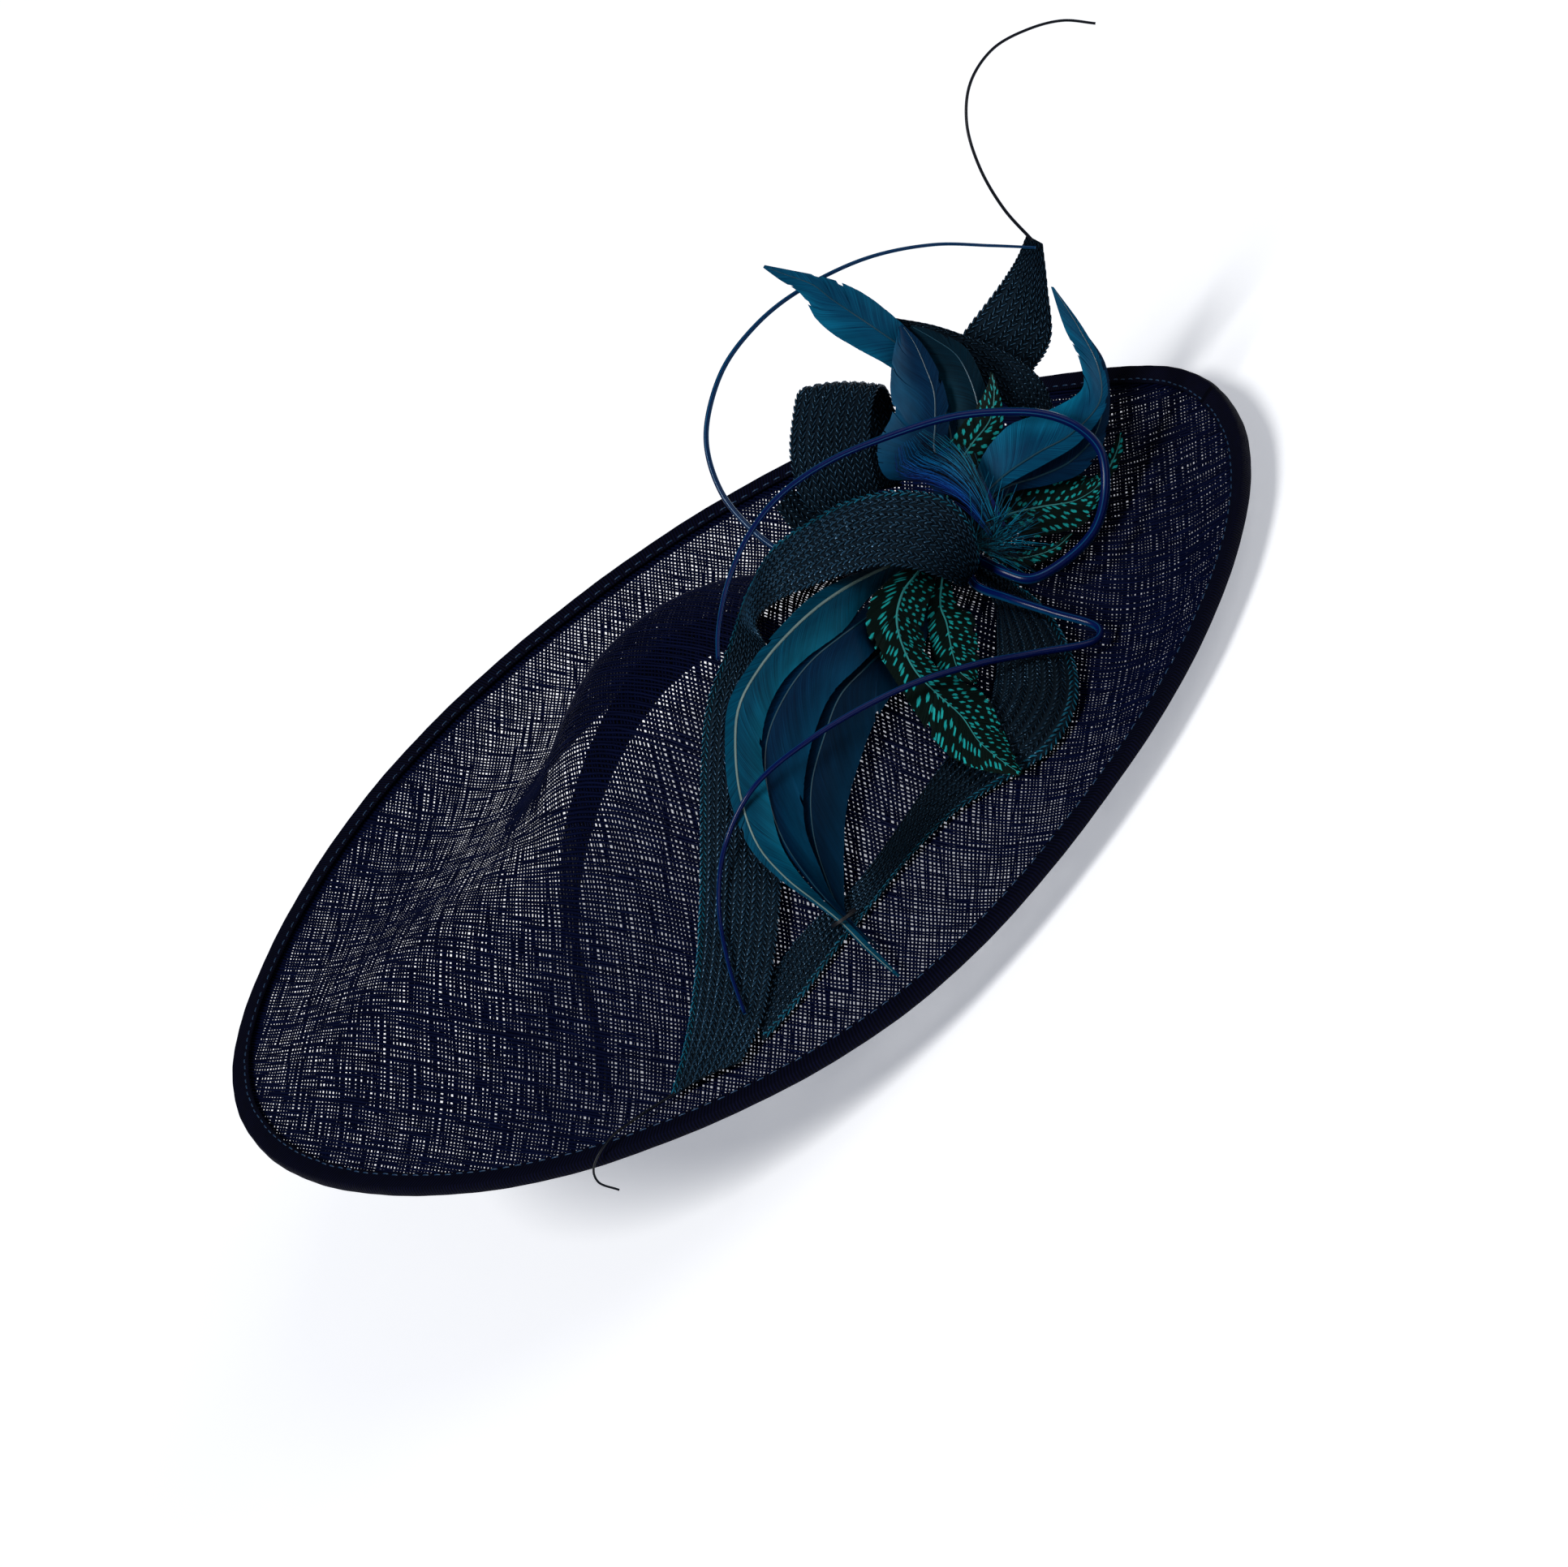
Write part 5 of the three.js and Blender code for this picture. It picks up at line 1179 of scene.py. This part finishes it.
# %% The guinea feathers
for name, rows, vane, seed, extras in (
    ("guinea_lower_left", GUINEA_LOWER_LEFT, long_spots, 31,
     {"slant": 0.9, "loose": 0.05, "notches": 8}),
    ("guinea_lower_right", GUINEA_LOWER_RIGHT, long_spots, 32,
     {"shaft_at": 0.4, "slant": 0.8, "loose": 0.05}),
    ("guinea_right", GUINEA_RIGHT, round_spots, 33,
     {"shaft_at": 0.55, "slant": 0.8, "loose": 0.05}),
    ("guinea_right_low", GUINEA_RIGHT_LOW, round_spots, 34, {"slant": 0.8, "loose": 0.05}),
    ("guinea_top", GUINEA_TOP, round_spots, 35, {"slant": 0.9, "loose": 0.05}),
    ("guinea_tip", GUINEA_TIP, round_spots, 36, {"slant": 0.9, "begin": 0.5, "notches": 0}),
):
    strip = Strip(rows, rooted=name != "guinea_tip")
    feather(name + "_feather", strip, vane, guinea_shaft, "guinea_feather", [name], seed, **extras)

# %% [markdown]
# The tuft is a bundle of peacock barbs, finer and glossier than the other feathers.
# They spread from one root like a brush: green at the root, and from blue to turquoise
# across the tuft. Each is a curved strip that ends in a point.

# %% Peacock barbs
barbs = blank_material("peacock_barbs_blue_green")
from_root, hue = map_numbers(barbs)
cool = mix(barbs, hue, "#0b2f9a", "#0890b8")
greened = mix(barbs, ramp(barbs, from_root, 3.0, 14.0, 1.0, 0.0), cool, "#0a3020")
# painted glints: colour shows on some barbs only, as if each turned its face another way to the
# light, and the rest are near black
painted_glint = ramp(barbs, noise(barbs, 0.02, 90), 0.45, 0.6)
finish_material(barbs, {"Base Color": mix(barbs, painted_glint, "#01050f", greened), "Roughness": 0.35,
                        "IOR": 1.54, "Specular IOR Level": 0.1})

# %% Edges of the tuft
TUFT = edges(standing, [
    [1.22, 0.18, 0.24, 1.34, 0.14, 0.22], [1.22, 0.26, 0.24, 1.37, 0.24, 0.21],
    [1.22, 0.35, 0.22, 1.39, 0.35, 0.19], [1.18, 0.46, 0.19, 1.39, 0.46, 0.16],
    [1.12, 0.56, 0.13, 1.35, 0.56, 0.13], [1.18, 0.64, 0.11, 1.3, 0.64, 0.11],
])

tuft = Strip(TUFT)
rng = np.random.default_rng(41)


def barb_strips(centres, asides, half):
    """Tapering strips: rows of centres, the way across each, and the half width at the root"""
    taper = half * (1 - 0.8 * np.linspace(0, 1, centres.shape[1]))[None, :, None]
    return np.stack([centres - asides * taper, centres + asides * taper], axis=2).reshape(-1, 3)


# most barbs fan out over the tuft's own strip
BARB_COUNT = 420
TUFT_PLACES = 8
TUFT_BARB_HALF_WIDTH = 0.17
fan = rng.uniform(0, 1, (BARB_COUNT, 1))
start = rng.uniform(0.02, 0.3, (BARB_COUNT, 1)) * tuft.length
ending = np.minimum(start + rng.uniform(0.45, 0.85, (BARB_COUNT, 1)) * tuft.length, tuft.length)
u = np.linspace(0, 1, TUFT_PLACES)[None]
s = start + (ending - start) * u
c = 0.5 + (fan - 0.5) * (0.25 + 0.9 * u ** 1.3)
lift = 0.5 + rng.uniform(-0.6, 1.2, (BARB_COUNT, 1)) * u + 0.7 * np.sin(math.pi * u)
centres = tuft.place(s, c, lift)
asides = unit(tuft.place(s, c + 0.02, lift) - centres)
upper = barb_strips(centres, asides, TUFT_BARB_HALF_WIDTH)
upper_map = np.stack([s - start, fan + 0 * u], axis=-1)

# the rest burst out to the right over the spotted feathers
BURST_COUNT = 170
turn = np.radians(rng.uniform(-75, 60, (BURST_COUNT, 1)))
long = rng.uniform(0.12, 0.27, (BURST_COUNT, 1)) * u
across = 1.235 + 0.02 * rng.normal(size=(BURST_COUNT, 1)) + long * np.cos(turn)
high = 0.17 + 0.03 * rng.normal(size=(BURST_COUNT, 1)) + long * np.sin(turn)
depth = 0.245 - 0.25 * long + rng.uniform(-0.01, 0.02, (BURST_COUNT, 1)) * u
depth += 0.02 * np.sin(math.pi * u)
centres = sighted(*(np.ravel(v)[:, None] * TRIM_REACH for v in (across, high, depth)))
centres = centres.reshape(BURST_COUNT, TUFT_PLACES, 3)
asides = UP * np.cos(turn)[..., None] - ACROSS * np.sin(turn)[..., None]
lower = barb_strips(centres, asides, TUFT_BARB_HALF_WIDTH)
hues = 0.75 + 0.25 * rng.uniform(0, 1, (BURST_COUNT, 1))
lower_map = np.stack([long * TRIM_REACH * 0.8 + 4, hues + 0 * u], axis=-1)

# a dark downy sheet lies under them
DOWN_ROWS = 12
DOWN_COLUMNS = 7
down_s, down_c = grid_map(np.linspace(0, tuft.length * 0.8, DOWN_ROWS),
                          np.linspace(0.12, 0.88, DOWN_COLUMNS)).T
down_map = np.stack([down_s, down_c * 0.01], axis=-1)
barb_total = BARB_COUNT + BURST_COUNT
barb_faces = many(grid_faces(TUFT_PLACES, 2), barb_total, 2 * TUFT_PLACES)
down_faces = grid_faces(DOWN_ROWS, DOWN_COLUMNS) + barb_total * 2 * TUFT_PLACES
tuft_faces = np.concatenate([barb_faces, down_faces])
tuft_map = np.concatenate([upper_map.reshape(-1, 2), lower_map.reshape(-1, 2)]).repeat(2, axis=0)
make_piece("peacock_tuft_barbs",
           np.concatenate([upper, lower, tuft.place(down_s, down_c)]),
           tuft_faces, barbs, "barbs", np.concatenate([tuft_map, down_map]), ["peacock_tuft"])

# %% [markdown]
# The long curls are feather shafts stripped of their barbs, boiled soft, curled and
# dyed. Bare keratin is smooth and horny, so it shines like lacquer. It is dyed royal
# blue on the back. A teal streak runs down one side, at a fixed turn from the side that
# faced the camera at the quill's start: partly the teal colour of its groove and partly
# a painted teal highlight.

# %% Stripped quill
def stripped_quill(name, back_dye, groove_dye_and_painted_highlight, gloss):
    """Bare keratin; across the texture map runs round the quill, from 0 to 1"""
    material = blank_material(name)
    turn = maths(material, "MULTIPLY", map_numbers(material)[1], 2 * math.pi)
    # painted highlight: a teal streak at a fixed turn round the quill, partly the groove's colour
    # and partly painted teal highlight
    wave = maths(material, "COSINE", maths(material, "SUBTRACT", turn, 2.2))
    streak = noise(material, 0.12, 6, detail=3)
    uneven = maths(material, "MULTIPLY", ramp(material, wave, 0.2, 0.9), streak)
    return finish_material(material, {
        "Base Color": mix(material, uneven, back_dye, groove_dye_and_painted_highlight),
        "Normal": bump(material, streak, 0.15, 0.0003),
        "Roughness": gloss, "IOR": 1.54, "Specular IOR Level": 0.12,
        "Coat Weight": 0.1, "Coat Roughness": 0.05,
    })


royal_quill = stripped_quill("stripped_quill_royal_blue", "#01124a", "#086c96", 0.25)
teal_quill = stripped_quill("stripped_quill_teal_blue", "#02244c", "#0c84b4", 0.25)
dark_quill = stripped_quill("stripped_quill_ink", "#04070f", "#122036", 0.35)

# %% Routes of the quills
QUILL_A = route(standing, [
    [1.24, 0.03, 0.22], [1.3, -0.04, 0.26], [1.45, -0.06, 0.24], [1.6, -0.03, 0.22],
    [1.72, 0.07, 0.2], [1.785, 0.19, 0.2], [1.77, 0.31, 0.2], [1.7, 0.42, 0.2],
    [1.58, 0.52, 0.2], [1.41, 0.62, 0.22], [1.18, 0.7, 0.25], [0.95, 0.755, 0.28],
    [0.73, 0.76, 0.31], [0.55, 0.71, 0.35], [0.38, 0.61, 0.42], [0.25, 0.49, 0.54],
    [0.19, 0.41, 0.6],
])
QUILL_B = route(standing, [
    [0.84, 0.34, 0.2], [0.7, 0.46, 0.26], [0.62, 0.58, 0.12], [0.58, 0.7, 0.06],
    [0.565, 0.88, 0], [0.61, 1.04, -0.04], [0.68, 1.14, -0.06], [0.84, 1.26, -0.08],
    [1.01, 1.315, -0.09], [1.2, 1.33, -0.1], [1.5, 1.28, -0.12], [1.74, 1.17, -0.13],
    [1.91, 1.04, -0.14], [2.04, 0.935, -0.144],
])
QUILL_C = route(lying, [
    [1.12, 0.065, 0.155], [1.19, -0.05, 0.2], [1.29, -0.19, 0.18], [1.39, -0.33, 0.12],
    [1.355, -0.365, 0.13], [1.15, -0.27, 0.2], [0.94, -0.17, 0.25], [0.67, -0.08, 0.25],
    [0.29, -0.03, 0.22], [0.01, -0.05, 0.2], [-0.2, -0.16, 0.13], [-0.34, -0.31, 0.115],
    [-0.45, -0.52, 0.13], [-0.51, -0.7, 0.13],
])
QUILL_D = route(standing, [
    [2.045, 0.965, -0.138], [2.03, 1.12, -0.14], [2.05, 1.3, -0.14], [2.11, 1.46, -0.14],
    [2.21, 1.57, -0.14], [2.35, 1.62, -0.14], [2.5, 1.6, -0.14], [2.62, 1.55, -0.14],
    [2.71, 1.47, -0.14],
])
FILAMENT = route(lying, [
    [-0.89, -0.785, 0.077], [-1.04, -0.775, 0.07], [-1.2, -0.78, 0.12], [-1.3, -0.83, 0.1],
    [-1.315, -0.88, 0.11], [-1.27, -0.95, 0.09],
])

# %% Quills
QUILL_SIDES = 12
QUILL_TAPER = 0.38
FINE_TAPER = 0.8
ROUTE_STEPS = 1500


def quill(name, points, width, taper, material, stands_for, rooted=True, steps=260):
    """A tapering round rod along a route"""
    points = [np.array(point) for point in points]
    if rooted:
        way = points[0] - pad_centre
        side = unit(np.cross(way, ACROSS)) * width / 2
        points.insert(0, from_pad(points[0], side, unit(np.cross(side, way)) * width / 2))
    dense = smooth_route(points, np.linspace(0, 1, ROUTE_STEPS))
    length = lengths_along(dense)
    even = np.linspace(0, length[-1], steps)
    line = np.stack([np.interp(even, length, dense[:, k]) for k in range(3)], axis=1)
    radius = width / 2 * (1 + (taper - 1) * even / length[-1])
    rings = strand_rings(line, radius, QUILL_SIDES)
    quill_map = grid_map(even, np.arange(QUILL_SIDES) / QUILL_SIDES)
    make_piece(name, rings.reshape(-1, 3), capped_faces(steps, QUILL_SIDES), material,
               "stripped_quill", quill_map, stands_for)


for name, points, width, taper, dyed, solid, extras in (
    ("quill_front_curl", QUILL_A, 4.2, QUILL_TAPER, royal_quill, "quill_a", {}),
    ("quill_back_curl", QUILL_B, 2.8, QUILL_TAPER, teal_quill, "quill_b", {}),
    ("quill_low_bend", QUILL_C, 3.4, QUILL_TAPER, royal_quill, "quill_c", {}),
    ("quill_fine_tip", QUILL_D, 1.3, FINE_TAPER, dark_quill, "quill_d", {"rooted": False}),
    ("filament_wisp", FILAMENT, 1.0, FINE_TAPER, dark_quill, "filament",
     {"rooted": False, "steps": 120}),
):
    quill(name, points, width, taper, dyed, [solid], **extras)

# %% [markdown]
# Black thread is wound three times round the tips of the lower feathers to hold them
# together. It is one strand that turns while it climbs.

# %% Thread that ties the lower feathers
binding_thread = blank_material("polyester_thread_black")
finish_material(binding_thread, {
    "Base Color": mix(binding_thread, noise(binding_thread, 1, 8), "#020206", "#14161f"),
    "Roughness": 0.45,
})
TIE_ACROSS = -0.005
TIE_UP = -0.635
TIE_LIFT = 0.121
TIE_HALF_WIDTH = 5
TIE_HALF_DEPTH = 5.4
TIE_STEPS = 90
TIE_SIDES = 7
tie_centre = lying(TIE_ACROSS, TIE_UP, TIE_LIFT)
turn = np.linspace(0, 3 * 2 * math.pi, TIE_STEPS)
climb = (turn / turn[-1] - 0.5) * 1.1
winding = (tie_centre + ACROSS * (np.cos(turn) * TIE_HALF_WIDTH)[:, None]
           + FORWARD * (np.sin(turn) * TIE_HALF_DEPTH)[:, None] + UP * climb[:, None])
rings = strand_rings(winding, np.full(TIE_STEPS, 0.28), TIE_SIDES)
make_piece("lower_tie_thread", rings.reshape(-1, 3),
           grid_faces(TIE_STEPS, TIE_SIDES, close_columns=True), binding_thread, "thread",
           grid_map(turn * 4, np.arange(TIE_SIDES) * 0.3), ["lower_tie"])

# %% [markdown]
# The hat stands on a plain pale floor that runs back out of view, in soft light from
# large lamps. The floor glows a little, as a lit white sweep in a studio does, so
# that the open weave shows light behind it.

# %% Floor
sweep = blank_material("painted_paper_white")
tooth = node(sweep, "TexNoise", {"Scale": 300, "Detail": 4})
finish_material(sweep, {"Base Color": mix(sweep, tooth.outputs[0], "#f0f0ef", "#fafafa"),
                        "Roughness": 0.9, "Emission Color": linear("#f1f5ff"),
                        "Emission Strength": 0.42})
FLOOR_SIZE = 60
FLOOR_DROP = 0.0005
bpy.ops.mesh.primitive_plane_add(size=FLOOR_SIZE, location=(0, 0, -FLOOR_DROP))
floor = bpy.context.object
floor.name = "floor"
floor.data.materials.append(sweep)

# %% Light
world = bpy.data.worlds.new("studio")
bpy.context.scene.world = world
world.use_nodes = True
sky = world.node_tree.nodes["Background"].inputs
sky["Color"].default_value = linear("#f1f5ff")
sky["Strength"].default_value = 0.1


def lamp(name, place, strength, angle):
    """A far round soft lamp that shines from a place towards the hat"""
    light = bpy.data.lights.new(name, "SUN")
    light.angle = math.radians(angle)
    light.energy = strength
    made = bpy.data.objects.new(name, light)
    made.rotation_euler = (-Vector(place)).to_track_quat("-Z", "Y").to_euler()
    bpy.context.scene.collection.objects.link(made)


lamp("key_lamp", (-1.0, -0.9, 1.9), 2.1, 22)
lamp("fill_lamp", (1.6, -0.6, 1.3), 0.5, 40)

# %% [markdown]
# The camera looks at the hat from the same side as the photograph and from the same
# distance, with its frame turned by the same angle, so the rim slants up to the right.

# %% Camera
CAMERA_TURN = math.radians(36.5)
AIM = np.array([9.8, -5.2, -9.0])
SEEN_WIDTH = 579.6
SENSOR_WIDTH = 36
eye = AIM + SIGHT_DISTANCE * FORWARD
camera = bpy.data.objects.new("camera", bpy.data.cameras.new("camera"))
bpy.context.scene.collection.objects.link(camera)
bpy.context.scene.camera = camera
camera.data.sensor_width = SENSOR_WIDTH
camera.data.lens = SENSOR_WIDTH * SIGHT_DISTANCE / SEEN_WIDTH
camera.data.clip_end = 100
right = lean @ (ACROSS * math.cos(CAMERA_TURN) - UP * math.sin(CAMERA_TURN))
upper = lean @ (ACROSS * math.sin(CAMERA_TURN) + UP * math.cos(CAMERA_TURN))
away = lean @ FORWARD
pose = np.eye(4)
pose[:3, :3] = np.stack([right, upper, away], axis=1)
pose[:3, 3] = to_row(eye)
camera.matrix_world = Matrix(pose.tolist())
bpy.context.scene.view_settings.view_transform = "Standard"
print("lens", round(camera.data.lens, 1), "mm, triangles", sum(shown.values()))
